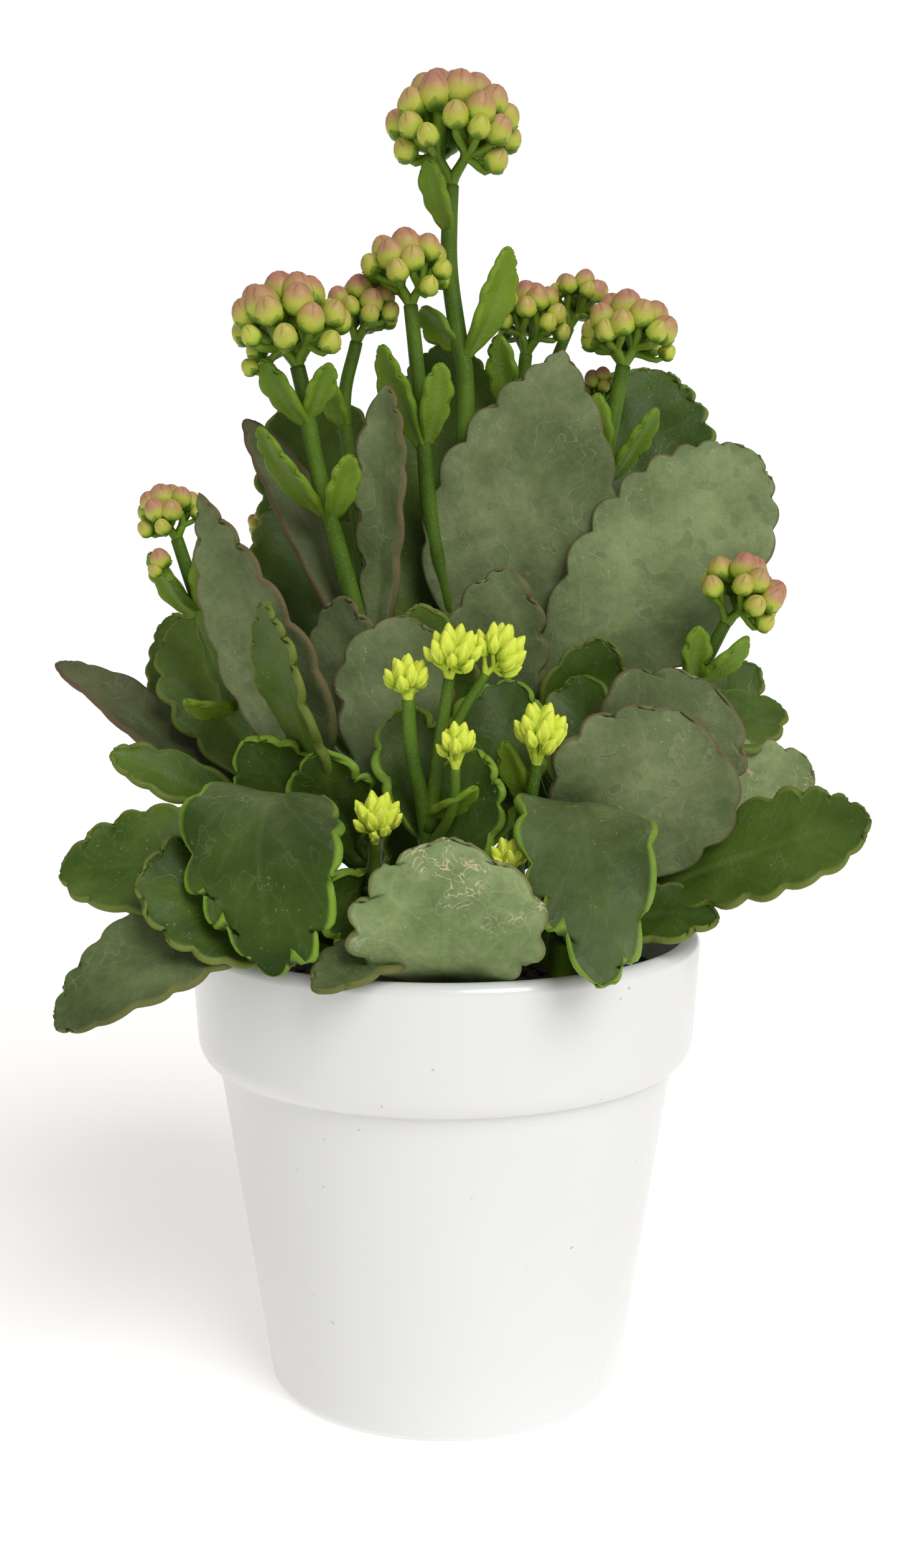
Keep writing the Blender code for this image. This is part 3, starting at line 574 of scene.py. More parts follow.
def rod(name, path, low, top, joints=()):
    """A closed tapered rod along a smooth line, swollen a little at the heights of its joints."""
    bpy.ops.curve.primitive_bezier_curve_add()
    line = bpy.context.object
    line.name = name
    spline = line.data.splines[0]
    spline.bezier_points.add(len(path) - 2)
    for knot, place in zip(spline.bezier_points, path):
        knot.co = Vector(place) * MM
        knot.handle_left_type = knot.handle_right_type = "AUTO"
    line.data.resolution_u = 8
    line.data.bevel_depth = MM
    line.data.bevel_resolution = 4
    line.data.use_fill_caps = True
    bottom, length = path[0][2], max(path[-1][2] - path[0][2], 1)
    for knot in spline.bezier_points:
        knot.radius = low + (top - low) * min(max((knot.co.z / MM - bottom) / length, 0), 1)
    curve_to_mesh()
    for vertex in line.data.vertices:
        height = vertex.co.z / MM
        middle = Vector(point_at_height(path, height)[:2]) * MM
        swell = sum(math.exp(-((height - joint) / NODE_LENGTH) ** 2) for joint in joints)
        out = Vector(vertex.co.xy) - middle
        if out.length < ON_THE_STEM * low * MM:
            vertex.co.xy = middle + out * (1 + NODE_SWELL * min(swell, 1))
    bpy.ops.object.shade_smooth()
    return line


stem_green, shader, place = new_material("stem_green")
fine = place.noise(1600, 2)
broad = place.noise(60, 3)
speckle = place.noise(2600, 0).step(0.60, 0.75)
rod_green = broad.step(0.25, 0.75).mix(colour(0.042, 0.092, 0.003), colour(0.095, 0.180, 0.012))
feed(shader, base_color=(speckle * 0.22).mix(rod_green, colour(0.24, 0.34, 0.10)),
     roughness=0.42 + 0.14 * fine, normal=(fine + place.noise(500, 2)).bump(0.25, 0.0003))
shader.inputs["Specular IOR Level"].default_value = 0.22

for shoot in shoots:
    joints = [leaf.at for leaf in shoot.leaves]
    rods = [rod("stem", stem_path(shoot.stem), shoot.stem.low, shoot.stem.top, joints)]
    for branch in shoot.branches:
        rods.append(rod("branch", stalk_path(branch), branch.low, branch.top))
    stems = join(rods, shoot.name.replace("shoot", "stems"))
    stems.data.materials.clear()
    stems.data.materials.append(stem_green)
    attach(stems, "root")
    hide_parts(shoot.name)


# Leaves: thick fleshy blades with a scalloped margin, each on a short stout stalk.
# One starts as a ball, drawn out flat along its own middle sheet; the old ones have a dusty bloom,
# water marks and a red-brown margin, and the young ones are dark and glossy with a lime margin.
STALK_HALF_WIDTH = 1.9
STALK_ROWS = 0.12
BLADE_ROUNDNESS = 1.45
BLADE_SEGMENTS = 40
ROWS_PER_MM = 0.9
FEWEST_ROWS = 56
MOST_ROWS = 100
SCALLOPS_START = 0.2
NARROW_SCALLOP = 0.4
MARGIN_TO_BLADE = 1.15
UNEVENNESS = 0.5
THICKNESS = (1.6, 1.5, 1.15, 0.75)
MARGIN_ROUNDING = 1.1
MARGIN_COLUMNS = 0.34
BEAD_PLACE = 0.9
BEAD_WIDTH = 0.6
RIB_WIDTH = 1.7
RIB_CHANNEL = 0.7
RIB_RIDGE = 0.9
ROOT_DEPTH = 1.4
TIP_ROOM = 0.5
TINY = 1e-9

# Bloom, lime, dry and bright are parts of a look, and the last field is a painted sheen, added to
# the bloom where a face turns to the sky; tone makes a whole leaf lighter or darker.
# Scallop is the depth of the margin's notches, lobe their spacing, ripple how far the margin waves
# up and down, and bead how much it is thickened, all in millimetres.
Kind = namedtuple("Kind", "bloom tone lime dry bright scallop lobe ripple bead dust", defaults=(0,))
KINDS = {
    "silver": Kind(1.00, 1.10, 0.00, 0.00, 0.00, 2.6, 11.0, 0.8, 0.00),
    "dusty": Kind(0.92, 0.92, 0.05, 0.10, 0.00, 2.6, 11.0, 0.8, 0.00),
    "pale": Kind(1.00, 1.40, 0.25, 0.00, 0.00, 3.2, 8.0, 1.2, 0.00),
    "dull": Kind(0.65, 0.85, 0.30, 0.05, 0.00, 2.2, 9.0, 0.8, 0.05),
    "brown": Kind(0.80, 0.80, 0.00, 0.45, 0.00, 0.8, 10.0, 0.4, 0.00),
    "fresh": Kind(0.14, 0.90, 0.50, 0.00, 0.25, 2.7, 9.0, 1.2, 0.10, 0.12),
    "deep": Kind(0.10, 0.85, 0.50, 0.00, 0.00, 2.8, 9.0, 1.2, 0.15),
    "glossy": Kind(0.05, 0.80, 1.00, 0.00, 0.00, 4.2, 8.0, 2.2, 0.35, 0.70),
    "bract": Kind(0.00, 1.00, 1.00, 0.00, 1.00, 1.6, 5.5, 0.2, 0.00),
}


def half_width(t, widest):
    """The blade's half width, 1 where it is widest, as a part t of the way from stalk to tip."""
    base_shape = BLADE_ROUNDNESS * widest
    tip_shape = BLADE_ROUNDNESS - base_shape
    most = widest ** base_shape * (1 - widest) ** tip_shape
    return np.maximum(t, 0) ** base_shape * np.maximum(1 - t, 0) ** tip_shape / most


def plain_outline(leaf, length, turn):
    """Half width and distance along the blade, for a turn from 0 at the stalk to 1 at the tip."""
    t = np.sin(np.clip(turn, 0, 1) * math.pi / 2)
    return 0.5 * leaf.width * half_width(t, leaf.widest) + STALK_HALF_WIDTH * (1 - t), t * length


def sheet_points(leaf, kind, root, axes, row, across):
    """Points of the leaf's middle sheet, for rows from 0 at the root to 1 at the tip.

    Across runs from -1 to 1 between the blade's two margins.
    """
    along, side, out = axes
    length = np.linalg.norm(np.array(leaf.tip) - root)
    blade = length * (1 - leaf.stalk)
    turn = (row - STALK_ROWS) / (1 - STALK_ROWS)
    on_blade = np.clip(turn, 0, 1)
    wide, far = plain_outline(leaf, blade, on_blade)

    # The way that the plain margin runs, and notches of uneven depth and spacing drawn in beside it.
    step = 0.01
    wide_ahead, far_ahead = plain_outline(leaf, blade, on_blade + step)
    wide_behind, far_behind = plain_outline(leaf, blade, on_blade - step)
    run = np.array([wide_ahead - wide_behind, far_ahead - far_behind])
    run /= np.linalg.norm(run, axis=0) + TINY
    chance = random.Random(f"{leaf.tip}")
    start, drift = chance.uniform(0, 6), chance.uniform(0.25, 0.5)
    lobes = max(round(MARGIN_TO_BLADE * blade / kind.lobe), 3)
    hand = np.sign(across)
    drifting = drift * np.sin(5 * on_blade + start + hand) * on_blade
    phase = math.pi * (lobes * (1 - on_blade) + drifting)
    notch = (1 - np.abs(np.cos(phase))) ** 1.2
    notch *= 0.8 + 0.35 * np.sin(6 * on_blade + 2 * start + 2 * hand)
    notch *= np.minimum(1, on_blade / SCALLOPS_START) ** 2 * np.minimum(1, (1 - on_blade) * 12)
    drawn = np.minimum(kind.scallop, NARROW_SCALLOP * wide) * notch
    x = across * wide - run[1] * drawn * across * np.abs(across) ** 3
    y = far + run[0] * drawn * np.abs(across) ** 4 + leaf.stalk * length
    y = np.where(turn < 0, leaf.stalk * length * row / STALK_ROWS, y)
    x = np.where(turn < 0, across * STALK_HALF_WIDTH, x)

    # How far the sheet rises off the flat: arched, cupped, waved, rippled at the margin and uneven.
    reach = y / length
    blade_part = np.where(turn < 0, 0, half_width(np.sin(on_blade * math.pi / 2), leaf.widest))
    bow = 4 * reach * (1 - reach)
    rise = leaf.arch * bow
    rise += leaf.cup * across ** 2 * blade_part
    rise += leaf.wave * across * np.cos(math.pi * leaf.lobes * on_blade) * blade_part
    rise += kind.ripple * across ** 2 * np.cos(phase * 0.5 + hand) * blade_part
    rise += UNEVENNESS * np.sin(x * 0.42 + start) * np.sin(y * 0.33 + 2 * start) * blade_part
    bend = leaf.sway * bow
    return root + np.outer(y, along) + np.outer(x + bend, side) + np.outer(rise, out)


def paint(mesh, name, values):
    """Write one number for each point of a mesh, for its material to read."""
    layer = mesh.attributes.new(name, "FLOAT", "POINT")
    layer.data.foreach_set("value", np.broadcast_to(values, len(mesh.vertices)).astype(np.float32))


def blade(name, leaf, root, rings):
    """One leaf: a ball drawn out over the leaf's middle sheet, its poles at the root and the tip."""
    kind = KINDS[leaf.kind]
    along = unit(np.array(leaf.tip) - root)
    tip = leaf.tip - TIP_ROOM * along
    leaf = leaf._replace(tip=tuple(tip))
    face = np.array(leaf.face, float)
    out = unit(face - along * np.dot(face, along))
    axes = along, np.cross(out, along), out
    bpy.ops.mesh.primitive_uv_sphere_add(segments=BLADE_SEGMENTS, ring_count=rings, radius=1.0)
    made = bpy.context.object
    made.name = name
    count = len(made.data.vertices)
    ball = np.empty(count * 3)
    made.data.vertices.foreach_get("co", ball)
    ball = ball.reshape(-1, 3)

    # Where each point of the ball goes: its row, its side, and how far in from the margin it lies.
    row = 1 - np.arccos(np.clip(ball[:, 2], -1, 1)) / math.pi
    angle = np.arctan2(ball[:, 1], ball[:, 0])
    inward = 1 - np.abs(np.abs(angle) / (math.pi / 2) - 1)
    hand = np.where(np.abs(angle) > math.pi / 2, -1.0, 1.0)
    upper = np.where(angle >= 0, 1.0, -1.0)
    length = np.linalg.norm(tip - root)
    turn = (row - STALK_ROWS) / (1 - STALK_ROWS)
    wide, far = plain_outline(leaf, length * (1 - leaf.stalk), turn)
    wide = np.maximum(wide, 0.05)
    rounding = np.minimum(MARGIN_ROUNDING, 0.6 * wide)
    near = np.minimum(inward / MARGIN_COLUMNS, 1)
    inner = np.maximum(inward - MARGIN_COLUMNS, 0) / (1 - MARGIN_COLUMNS)
    margin = rounding * (1 - np.cos(near * math.pi / 2)) + (wide - rounding) * inner
    across = hand * (1 - margin / wide)
    reach = np.where(turn < 0, leaf.stalk * row / STALK_ROWS, leaf.stalk + far / length)

    # Half the thickness, with a beaded margin and a rib sunk into the face and raised on the back.
    thick = np.interp(reach, [0, leaf.stalk, leaf.stalk + 0.2, 1], THICKNESS)
    thick = thick * np.minimum(1, np.sqrt(wide / THICKNESS[0])) * np.sin(near * math.pi / 2)
    thick += kind.bead * np.exp(-((margin - BEAD_PLACE) / BEAD_WIDTH) ** 2)
    rib = hand * (wide - margin)
    fold = np.exp(-(rib / RIB_WIDTH) ** 2) * (1 - reach)
    lift = np.where(upper > 0, thick - RIB_CHANNEL * fold, -thick - RIB_RIDGE * fold)

    # The sheet's own direction at each point, from its slopes inwards, which the thickness follows.
    points = sheet_points(leaf, kind, root, axes, row, across)
    side_step = np.where(across > 0, -0.02, 0.02)
    far_step = np.where(row > 0.5, -0.004, 0.004)
    sideways = sheet_points(leaf, kind, root, axes, row, across + side_step) - points
    onwards = sheet_points(leaf, kind, root, axes, row + far_step, across) - points
    normal = np.cross(onwards * np.sign(far_step)[:, None], sideways * np.sign(side_step)[:, None])
    size = np.linalg.norm(normal, axis=1)[:, None]
    normal = np.where(size > 100 * TINY, normal / np.maximum(size, TINY), out)
    points += normal * lift[:, None]
    made.data.vertices.foreach_set("co", (points * MM).astype(np.float32).ravel())
    made.data.update()
    bpy.ops.object.shade_smooth()

    paint(made.data, "margin", margin)
    paint(made.data, "rib", rib)
    paint(made.data, "reach", reach)
    paint(made.data, "along", reach * length)
    # Painted sheen: faces turned to the sky get more bloom, by the kind's last field, on top of the
    # real bloom.
    skyward = np.clip(normal[:, 2] * upper, 0, 1)
    paint(made.data, "bloom", kind.bloom + kind.dust * skyward ** 2)
    for attribute in ("tone", "lime", "dry", "bright"):
        paint(made.data, attribute, getattr(kind, attribute))
    return made


def leaf_root(leaf, stem):
    """Where the leaf starts: a little inside the skin of its stem, on the side of its tip."""
    path = stem_path(stem)
    middle = point_at_height(path, leaf.at)
    thickness = np.interp(leaf.at, [path[0][2], path[-1][2]], [stem.low, stem.top])
    return middle + unit(np.array(leaf.tip) - middle) * (thickness - ROOT_DEPTH)


leaf_skin, shader, place = new_material("leaf_skin")
bloom, lime, dry, bright, tone, margin, reach = [
    place.attribute(name) for name in "bloom lime dry bright tone margin reach".split()]
rib = abs(place.attribute("rib"))

# Broad clouds, fine grain, dried water marks with a paler edge, flecks of lime, veins and dust.
cloud = place.noise(38, 4, 0.6)
grain = place.noise(1500, 3, 0.6)
drop = place.noise(150, 1.5, 0.45, 0.25)
wet = drop.step(0.560, 0.570)
tide = wet * (1 - drop.step(0.570, 0.592)) * place.noise(50, 2).step(0.40, 0.60)
fleck = place.noise(1100, 1).step(0.70, 0.74) * place.noise(70, 2).step(0.48, 0.62)
stripe = (place.attribute("along") - 0.9 * rib) * 0.10 + 1.2 * cloud
vein = 1 - stripe.maths("PINGPONG", stripe, 0.5).step(0.0, 0.09)
dust = place.noise(420, 4, 0.75).step(0.35, 0.70)

# The blade's colour, mixed from an old dusty green, a young dark green and a bract's bright green.
dusty = cloud.step(0.25, 0.75).mix(colour(0.098, 0.140, 0.050), colour(0.245, 0.300, 0.140))
sappy = cloud.step(0.25, 0.75).mix(colour(0.017, 0.046, 0.001), colour(0.064, 0.128, 0.004))
lush = cloud.step(0.2, 0.8).mix(colour(0.085, 0.165, 0.006), colour(0.170, 0.265, 0.018))
# Bloom mixes in the dusty green. It is the real bloom plus, on faces turned to the sky, a painted
# sheen.
skin = (bloom * (0.62 + 0.4 * cloud + 0.3 * dust)).mix(sappy, dusty)
skin = bright.mix(skin, lush)
skin = (dry * (0.4 + 0.7 * cloud)).mix(skin, colour(0.135, 0.105, 0.062))
skin = (wet * 0.30 * bloom).mix(skin, colour(0.085, 0.130, 0.052))
skin = (tide * (0.08 + 0.22 * bloom) * (1 - bright)).mix(skin, colour(0.36, 0.40, 0.27))
skin = (fleck * 0.4 * (1 - bright)).mix(skin, colour(0.42, 0.46, 0.32))
skin = (vein * (0.05 + 0.05 * bloom) * rib.step(0.5, 3.0)).mix(skin, colour(0.26, 0.33, 0.15))
skin = ((1 - rib.step(0.3, 1.4)) * (1 - reach) * 0.40).mix(skin, colour(0.20, 0.29, 0.085))
skin = skin.times(tone * (0.85 + 0.3 * grain))

# The margin's line, red-brown on old leaves and lime on young ones, and a pale leaf's scars.
rim_colour = lime.mix(colour(0.120, 0.060, 0.036), colour(0.195, 0.330, 0.030))
rim = (1 - margin.step(0.3 + 0.5 * lime, 0.9 + 1.2 * lime)) * (0.4 + 0.6 * cloud.step(0.25, 0.5))
rim_strength = reach.step(0.2, 0.35) * (0.9 - 0.25 * bloom) * (1 - 0.7 * bright)
skin = (rim * rim_strength).mix(skin, rim_colour)
scar = (1 - abs(place.noise(210, 2, 0.6, 1.0) - 0.5).step(0.006, 0.022)) * reach.step(0.66, 0.80)
scar = scar * tone.step(1.2, 1.3) * place.noise(55, 1).step(0.47, 0.55)
skin = (scar * 0.85).mix(skin, colour(0.52, 0.47, 0.30))
relief = scar * 1.5 + grain * 0.4 + dust * 0.3 + cloud * 1.5 + tide * 0.5 - vein * 0.15
feed(shader, base_color=skin, roughness=0.36 + 0.26 * bloom - 0.08 * wet + 0.08 * grain,
     normal=relief.bump(0.35, 0.0005))
shader.inputs["Specular IOR Level"].default_value = 0.18

for shoot in shoots:
    blades = []
    for leaf in shoot.leaves:
        root = leaf_root(leaf, shoot.stem)
        rows = round(np.linalg.norm(np.array(leaf.tip) - root) * ROWS_PER_MM)
        blades.append(blade("leaf", leaf, root, min(max(rows, FEWEST_ROWS), MOST_ROWS)))
    leaves = join(blades, shoot.name.replace("shoot", "leaves"))
    leaves.data.materials.append(leaf_skin)
    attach(leaves, "root")
    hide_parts(shoot.name)


# Bracts: the small leaves where bud stalks part, made like the leaves but smooth-edged and plump.
BRACT_ROWS = 30
BRACT_STALK = 0.1
BRACT_FACE = (-15.0, -5.0)
BRACT_FULLNESS = 1.25
BRACT_CUP = 0.8

for shoot in shoots:
    blades = []
    for bract in shoot.bracts:
        face = (bract.tip[0] - bract.root[0], *BRACT_FACE)
        leaf = Leaf(0, bract.tip, bract.width * BRACT_FULLNESS, face, "bract", bract.arch,
                    cup=BRACT_CUP, stalk=BRACT_STALK)
        blades.append(blade("bract", leaf, np.array(bract.root, float), BRACT_ROWS))
    if blades:
        bracts = join(blades, shoot.name.replace("shoot", "bracts"))
        bracts.data.materials.append(leaf_skin)
        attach(bracts, "root")
        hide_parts(shoot.name)


# Bud heads: closed buds on short green stalks that part twice from the end of a stem.
# A ripe bud is a plump egg of four folded petals, pink on top, in a green cup with four points; a
# young one is slim, lime and wrapped to its top in its pointed cup. Each starts as a shaped ball.
GOLDEN_ANGLE = math.pi * (3.0 - math.sqrt(5.0))
DOME_ANGLE = math.radians(112.0)
DOME_FLATTENING = 0.9
BUD_FILL = 0.98
FEWEST_BUDS = 3
YOUNG_LENGTH = 1.5
PLACE_SPREAD = 0.12
TOP_BUD = 1.26
RIM_BUD = 0.68
SIZE_SPREAD = 0.14
BUD_ROOM = 0.4
BUD_SIDES = 16
BUD_ROWS = 8
CUP_ROWS = 6
PLUMPNESS = 0.98
CUP_WALL = 0.03
CUP_RIM = 0.7
CUP_MOUTH = 0.7
LOWEST_RIM = 0.26
LEAN_UP = 0.5
LEAN_TO_SKY = Vector((0, 0, 0.4))
BLUSH_START = 1.55
BLUSH_RATE = 2.9
BRANCHES = 4
BRANCHING = 0.5
FORK_START = 0.8
FORK_END = 0.55
TWIG_START = 0.5
TWIG_END = 0.16
TWIG_TO_BUD = 0.45


def shaped_ball(name, rows, shape):
    """A ball of height 1 whose points are put in place by their height and their turn round it."""
    bpy.ops.mesh.primitive_uv_sphere_add(segments=BUD_SIDES, ring_count=rows, radius=0.5)
    made = bpy.context.object
    made.name = name
    rise = []
    for vertex in made.data.vertices:
        height = min(max(vertex.co.z + 0.5, 0), 1)
        radius, lift = shape(height, math.atan2(vertex.co.y, vertex.co.x))
        flat = math.hypot(vertex.co.x, vertex.co.y)
        if flat > 1e-6:
            vertex.co.xy = vertex.co.xy / flat * radius
        vertex.co.z = lift - 0.5
        rise.append(height)
    bpy.ops.object.shade_smooth()
    return made, np.array(rise)


def seam_between(turn):
    """0 at the middle of each of the four petals, and 1 where two of them meet."""
    return 1 - abs(math.cos(2 * turn))


def egg(height):
    """The radius of a blunt egg of height 1."""
    return PLUMPNESS * math.sqrt(height * (1 - height)) * (1.10 - 0.20 * height)


def ripe_petals(height, turn):
    """A blunt egg, a little four-sided near its top where the petals fold over each other."""
    return egg(height) * (1 - 0.10 * seam_between(turn) * height ** 1.5), height


def young_petals(height, turn):
    """A slim pointed egg."""
    fold = 1 - 0.12 * seam_between(turn)
    return PLUMPNESS * math.sqrt(height) * (1 - height) ** 0.7 * fold, height


def cup(top, flare):
    """A green cup round the foot of a bud, its rim drawn up into four points and turned in."""
    def shape(height, turn):
        leafy = (1 - seam_between(turn)) ** 2
        rim = top * (LOWEST_RIM + (1 - LOWEST_RIM) * leafy)
        if height <= CUP_RIM:
            lift = rim * height / CUP_RIM
            return egg(lift) + CUP_WALL + flare * leafy * height, lift - CUP_WALL
        inside = (height - CUP_RIM) / (1 - CUP_RIM)
        lift = rim * (1 - 0.5 * inside)
        return CUP_MOUTH * math.sqrt(lift * (1 - lift)) * (1 - inside), lift - CUP_WALL
    return shape


def bud_parts(kind):
    """The petals and the cup of one bud of height 1, with the numbers that its material reads."""
    petals, rise = shaped_ball("petals", BUD_ROWS, kind.petals)
    seams = [seam_between(math.atan2(point.co.y, point.co.x)) for point in petals.data.vertices]
    paint(petals.data, "rise", rise)
    paint(petals.data, "seam", seams * rise)
    paint(petals.data, "leafy", 0.0)
    holder, rise = shaped_ball("cup", CUP_ROWS, cup(kind.cup_top, kind.cup_flare))
    paint(holder.data, "rise", rise)
    paint(holder.data, "seam", 0.0)
    paint(holder.data, "leafy", 1.0)
    return join([petals, holder], "bud")


# Extra is how many times as many buds a head has here as in the solids.
BudKind = namedtuple("BudKind", "petals cup_top cup_flare outward tall wide extra")
RIPE = BudKind(ripe_petals, 0.60, 0.05, 0.55, 1.14, 1.12, 2.4)
YOUNG = BudKind(young_petals, 0.94, 0.03, 0.65, 1.75, 0.95, 2.6)
templates = {kind: bud_parts(kind) for kind in (RIPE, YOUNG)}
heads = [stem.head for shoot in shoots for stem in [shoot.stem, *shoot.branches] if stem.head]


def bud_places(head, kind):
    """For each bud: its way from the head's centre, its width and its part of the largest."""
    buds = max(round(kind.extra * head.buds), FEWEST_BUDS)
    share = BUD_FILL * math.sqrt(2 * math.pi * (1 - math.cos(DOME_ANGLE)) / buds)
    middling = share * head.reach / (1 + share * head.length / 2)
    chance = random.Random(head.name)
    for number in range(buds):
        part = (number + 0.5) / buds
        polar = math.acos(1 - (1 - math.cos(DOME_ANGLE)) * part) + chance.gauss(0, PLACE_SPREAD)
        turn = number * GOLDEN_ANGLE + chance.gauss(0, PLACE_SPREAD)
        size = TOP_BUD + (RIM_BUD - TOP_BUD) * part + chance.uniform(-SIZE_SPREAD, SIZE_SPREAD)
        way = Vector((math.sin(polar) * math.cos(turn), math.sin(polar) * math.sin(turn),
                      math.cos(polar) * DOME_FLATTENING))
        yield way, middling * size, size / TOP_BUD


def in_neighbour(place, head):
    """Whether a place lies further inside another head than inside its own one."""
    nearest = min(heads, key=lambda other: (place - Vector(other.centre)).length / other.reach)
    return nearest is not head


def twig(curve, start, end, leaving, arriving, start_radius, end_radius):
    """One rod of a curve, which leaves its start and reaches its end in the given directions."""
    spline = curve.splines.new("BEZIER")
    spline.bezier_points.add(1)
    first, last = spline.bezier_points
    gap = (end - start).length * 0.35
    first.co, last.co = start * MM, end * MM
    first.handle_right = (start + leaving * gap) * MM
    first.handle_left = (start - leaving * gap) * MM
    last.handle_left = (end - arriving * gap) * MM
    last.handle_right = (end + arriving * gap) * MM
    first.radius, last.radius = start_radius, end_radius


def twigs(foot, up, ends, thickness):
    """A stalk's end, parted into a few short branches and then into one rod for each bud."""
    bpy.ops.curve.primitive_bezier_curve_add()
    made = bpy.context.object
    made.data.splines.clear()
    made.data.resolution_u = 5
    made.data.bevel_depth = MM
    made.data.bevel_resolution = 2
    made.data.use_fill_caps = True
    sectors = [[] for _ in range(BRANCHES)]
    for place, lean, radius in ends:
        side = math.atan2(place.y - foot.y, place.x - foot.x) / math.pi + 1
        sectors[int(side * BRANCHES / 2) % BRANCHES].append((place, lean, radius))
    for sector in filter(None, sectors):
        middle = sum((place for place, _, _ in sector), Vector()) / len(sector)
        fork = foot + (middle - foot) * BRANCHING
        onward = (middle - foot).normalized()
        twig(made.data, foot - up, fork, up, onward, thickness * FORK_START, thickness * FORK_END)
        for place, lean, radius in sector:
            start = fork - onward * 0.5
            twig(made.data, start, place, onward, lean, thickness * TWIG_START, radius)
    curve_to_mesh()
    bpy.ops.object.shade_smooth()
    paint(made.data, "leafy", 1.0)
    paint(made.data, "rise", 0.35)
    return made


def bud_head(stem):
    """The buds and fine stalks at the end of one stem, as one object."""
    head = stem.head
    kind = RIPE if head.length < YOUNG_LENGTH else YOUNG
    chance = random.Random(head.name + " looks")
    centre = Vector(head.centre)
    foot = Vector(stalk_path(stem)[-1])
    up = (centre - foot).normalized()
    upright = up.to_track_quat("Z", "Y")
    members, ends = [], []
    for way, width, ripeness in bud_places(head, kind):
        out = (upright @ way).normalized()
        lean = (out * kind.outward + up * LEAN_UP + LEAN_TO_SKY).normalized()
        tall, wide = width * kind.tall, width * kind.wide
        middle = centre + upright @ way * (head.reach - BUD_ROOM - 0.5 * max(tall, wide))
        if in_neighbour(middle, head):
            continue
        bud = templates[kind].copy()
        bud.data = templates[kind].data.copy()
        bpy.context.scene.collection.objects.link(bud)
        turned = lean.to_track_quat("Z", "Y").to_matrix().to_4x4()
        spin = Matrix.Rotation(chance.uniform(0, math.pi), 4, "Z")
        sized = Matrix.Diagonal((wide * MM, wide * MM, tall * MM, 1))
        bud.data.transform(Matrix.Translation(middle * MM) @ turned @ spin @ sized)
        blush = min(max(BLUSH_RATE * ripeness - BLUSH_START, 0), 1)
        paint(bud.data, "blush", blush * chance.uniform(0.8, 1))
        members.append(bud)
        ends.append((middle - lean * tall * TWIG_TO_BUD, lean, wide * TWIG_END))
    rods = twigs(foot, up, ends, stem.top)
    made = join([rods, *members], head.name.replace("buds", "head").replace("bud_", "head_"))
    paint(made.data, "young", float(kind is YOUNG))
    made.data.materials.clear()
    made.data.materials.append(bud_skin)
    return made


bud_skin, shader, place = new_material("bud_skin")
rise = place.attribute("rise")
seam = place.attribute("seam")
mottle = place.noise(300, 3)
fine = place.noise(1800, 2)
green = mottle.mix(colour(0.36, 0.43, 0.035), colour(0.56, 0.60, 0.085))
pink = mottle.mix(colour(0.36, 0.120, 0.098), colour(0.52, 0.230, 0.175))
flush = (rise + 0.5 * (mottle - 0.5)).step(0.38, 0.84) * place.attribute("blush")
petal = flush.mix(green, pink)
petal = (seam.step(0.45, 0.95) * 0.60).mix(petal, colour(0.24, 0.075, 0.055))
cup_green = (rise + 0.2 * mottle).step(0.2, 0.75)
cup_green = cup_green.mix(colour(0.075, 0.16, 0.006), colour(0.22, 0.34, 0.020))
cup_green = (rise.step(0.66, 0.70) * 0.6).mix(cup_green, colour(0.16, 0.10, 0.04))
coat = place.attribute("leafy").mix(petal, cup_green)
lime_coat = (rise + 0.3 * mottle).step(0.1, 0.9)
lime_coat = lime_coat.mix(colour(0.29, 0.44, 0.016), colour(0.70, 0.79, 0.080))
coat = place.attribute("young").mix(coat, lime_coat)
feed(shader, base_color=coat.times(0.88 + 0.24 * fine), roughness=0.40 + 0.12 * fine,
     normal=(fine + mottle).bump(0.2, 0.0003))
shader.inputs["Specular IOR Level"].default_value = 0.3

for shoot in shoots:
    for stem in [shoot.stem, *shoot.branches]:
        if stem.head:
            made = bud_head(stem)
            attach(made, "root")
            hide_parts(stem.head.name)
for template in templates.values():
    bpy.data.objects.remove(template)


# Studio: a plain white floor, a bright even room and one broad lamp from the right and the front.
# The floor glows a little, and the camera sees the room brighter than it lights the plant, so both
# come out white round the pot's soft shadow.
FLOOR_SIZE = 12
FLOOR_GLOW = 0.40
ROOM_LIGHT = 0.40
ROOM_SEEN = 1.05
LAMP_POWER = 1.85
LAMP_BREADTH = math.radians(35)
LAMP_FROM = Vector((0.50, -0.85, 0.85))

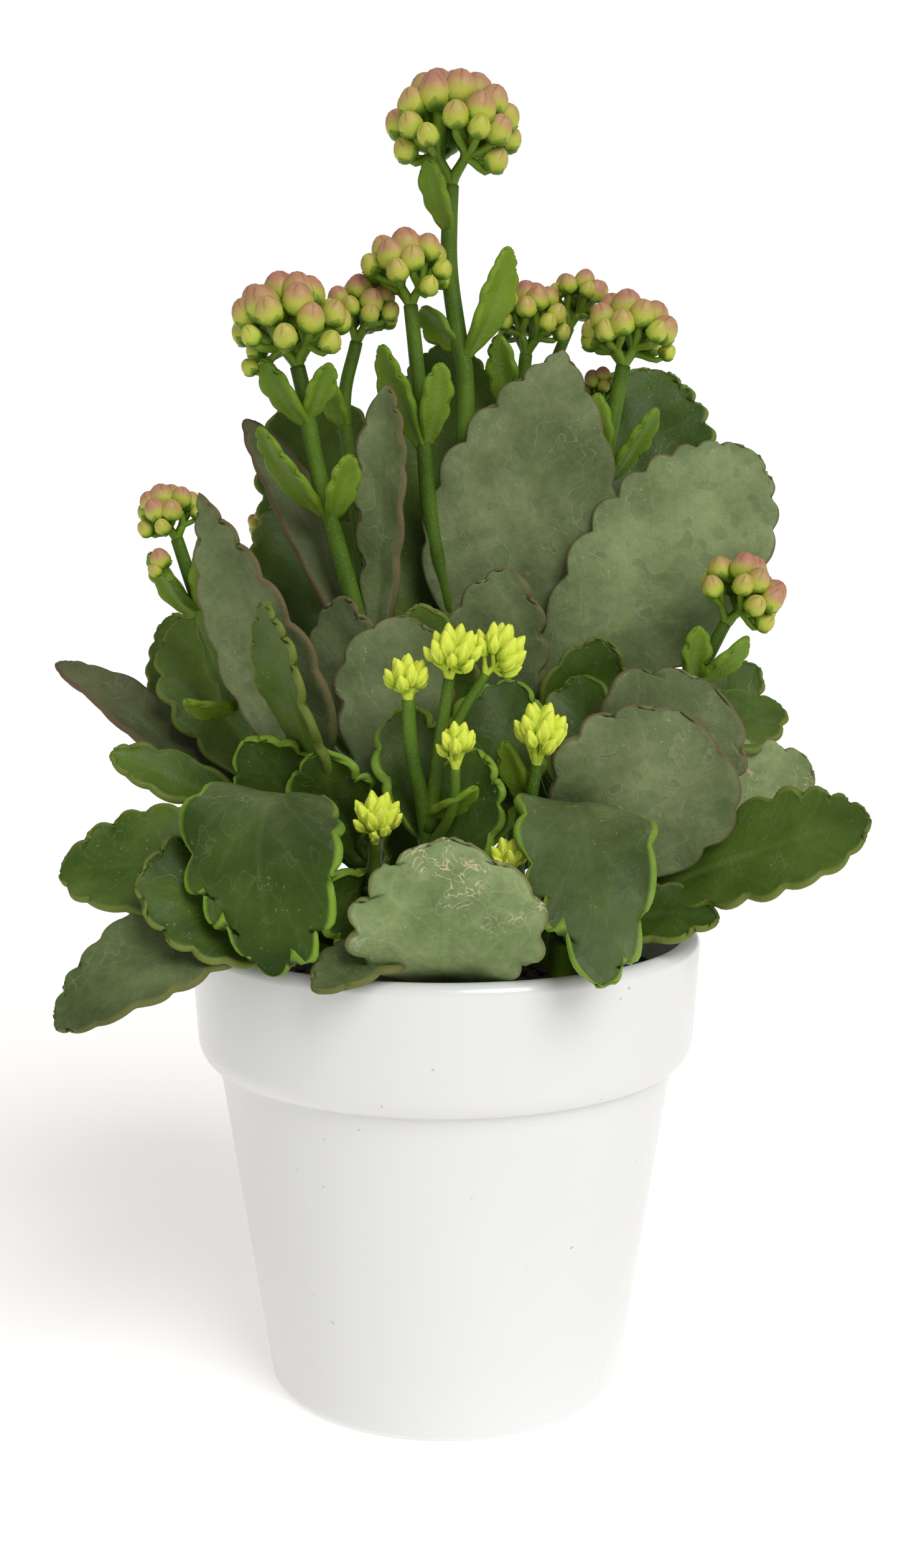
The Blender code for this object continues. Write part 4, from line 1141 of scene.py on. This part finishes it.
bpy.ops.mesh.primitive_plane_add(size=FLOOR_SIZE)
floor = bpy.context.object
floor.name = "studio_floor"
paper, shader, place = new_material("white_paper")
shader.inputs["Base Color"].default_value = colour(0.88, 0.875, 0.865)
shader.inputs["Roughness"].default_value = 0.9
shader.inputs["Specular IOR Level"].default_value = 0.0
shader.inputs["Emission Color"].default_value = colour(1.0, 0.99, 0.97)
shader.inputs["Emission Strength"].default_value = FLOOR_GLOW
floor.data.materials.append(paper)

room = bpy.data.worlds.new("studio_room")
bpy.context.scene.world = room
room.use_nodes = True
room.node_tree.nodes.clear()
sky = room.node_tree.nodes.new("ShaderNodeOutputWorld")
air = Wire(room.node_tree, None)
lit = air.node("ShaderNodeBackground", {}, {
    "Color": colour(1.0, 0.975, 0.935), "Strength": ROOM_LIGHT})
seen = air.node("ShaderNodeBackground", {}, {
    "Color": colour(1.0, 1.0, 1.0), "Strength": ROOM_SEEN})
to_camera = air.node("ShaderNodeLightPath", {}, {}, output="Is Camera Ray")
either = air.node("ShaderNodeMixShader", {}, {0: to_camera, 1: lit, 2: seen})
room.node_tree.links.new(either.socket, sky.inputs["Surface"])

bpy.ops.object.light_add(type="SUN", location=(0.6, -0.6, 0.8))
lamp = bpy.context.object
lamp.name = "broad_lamp"
lamp.data.energy = LAMP_POWER
lamp.data.angle = LAMP_BREADTH
lamp.rotation_euler = LAMP_FROM.to_track_quat("Z", "Y").to_euler()


# Camera: half a metre in front of the plant and above its leaves, looking slightly down, with the
# lens that gives the pot's rim, collar and foot the curves that they have in the picture.
CAMERA_PLACE = (0.00235, -0.490, 0.224)
CAMERA_DIP = 0.128
LENS = 42.86
SENSOR_WIDTH = 36.0

bpy.ops.object.camera_add(location=CAMERA_PLACE, rotation=(math.pi / 2 - CAMERA_DIP, 0, 0))
camera = bpy.context.object
camera.data.lens = LENS
camera.data.sensor_width = SENSOR_WIDTH
camera.data.clip_start = 0.01
bpy.context.scene.camera = camera
bpy.context.scene.view_settings.view_transform = "Standard"
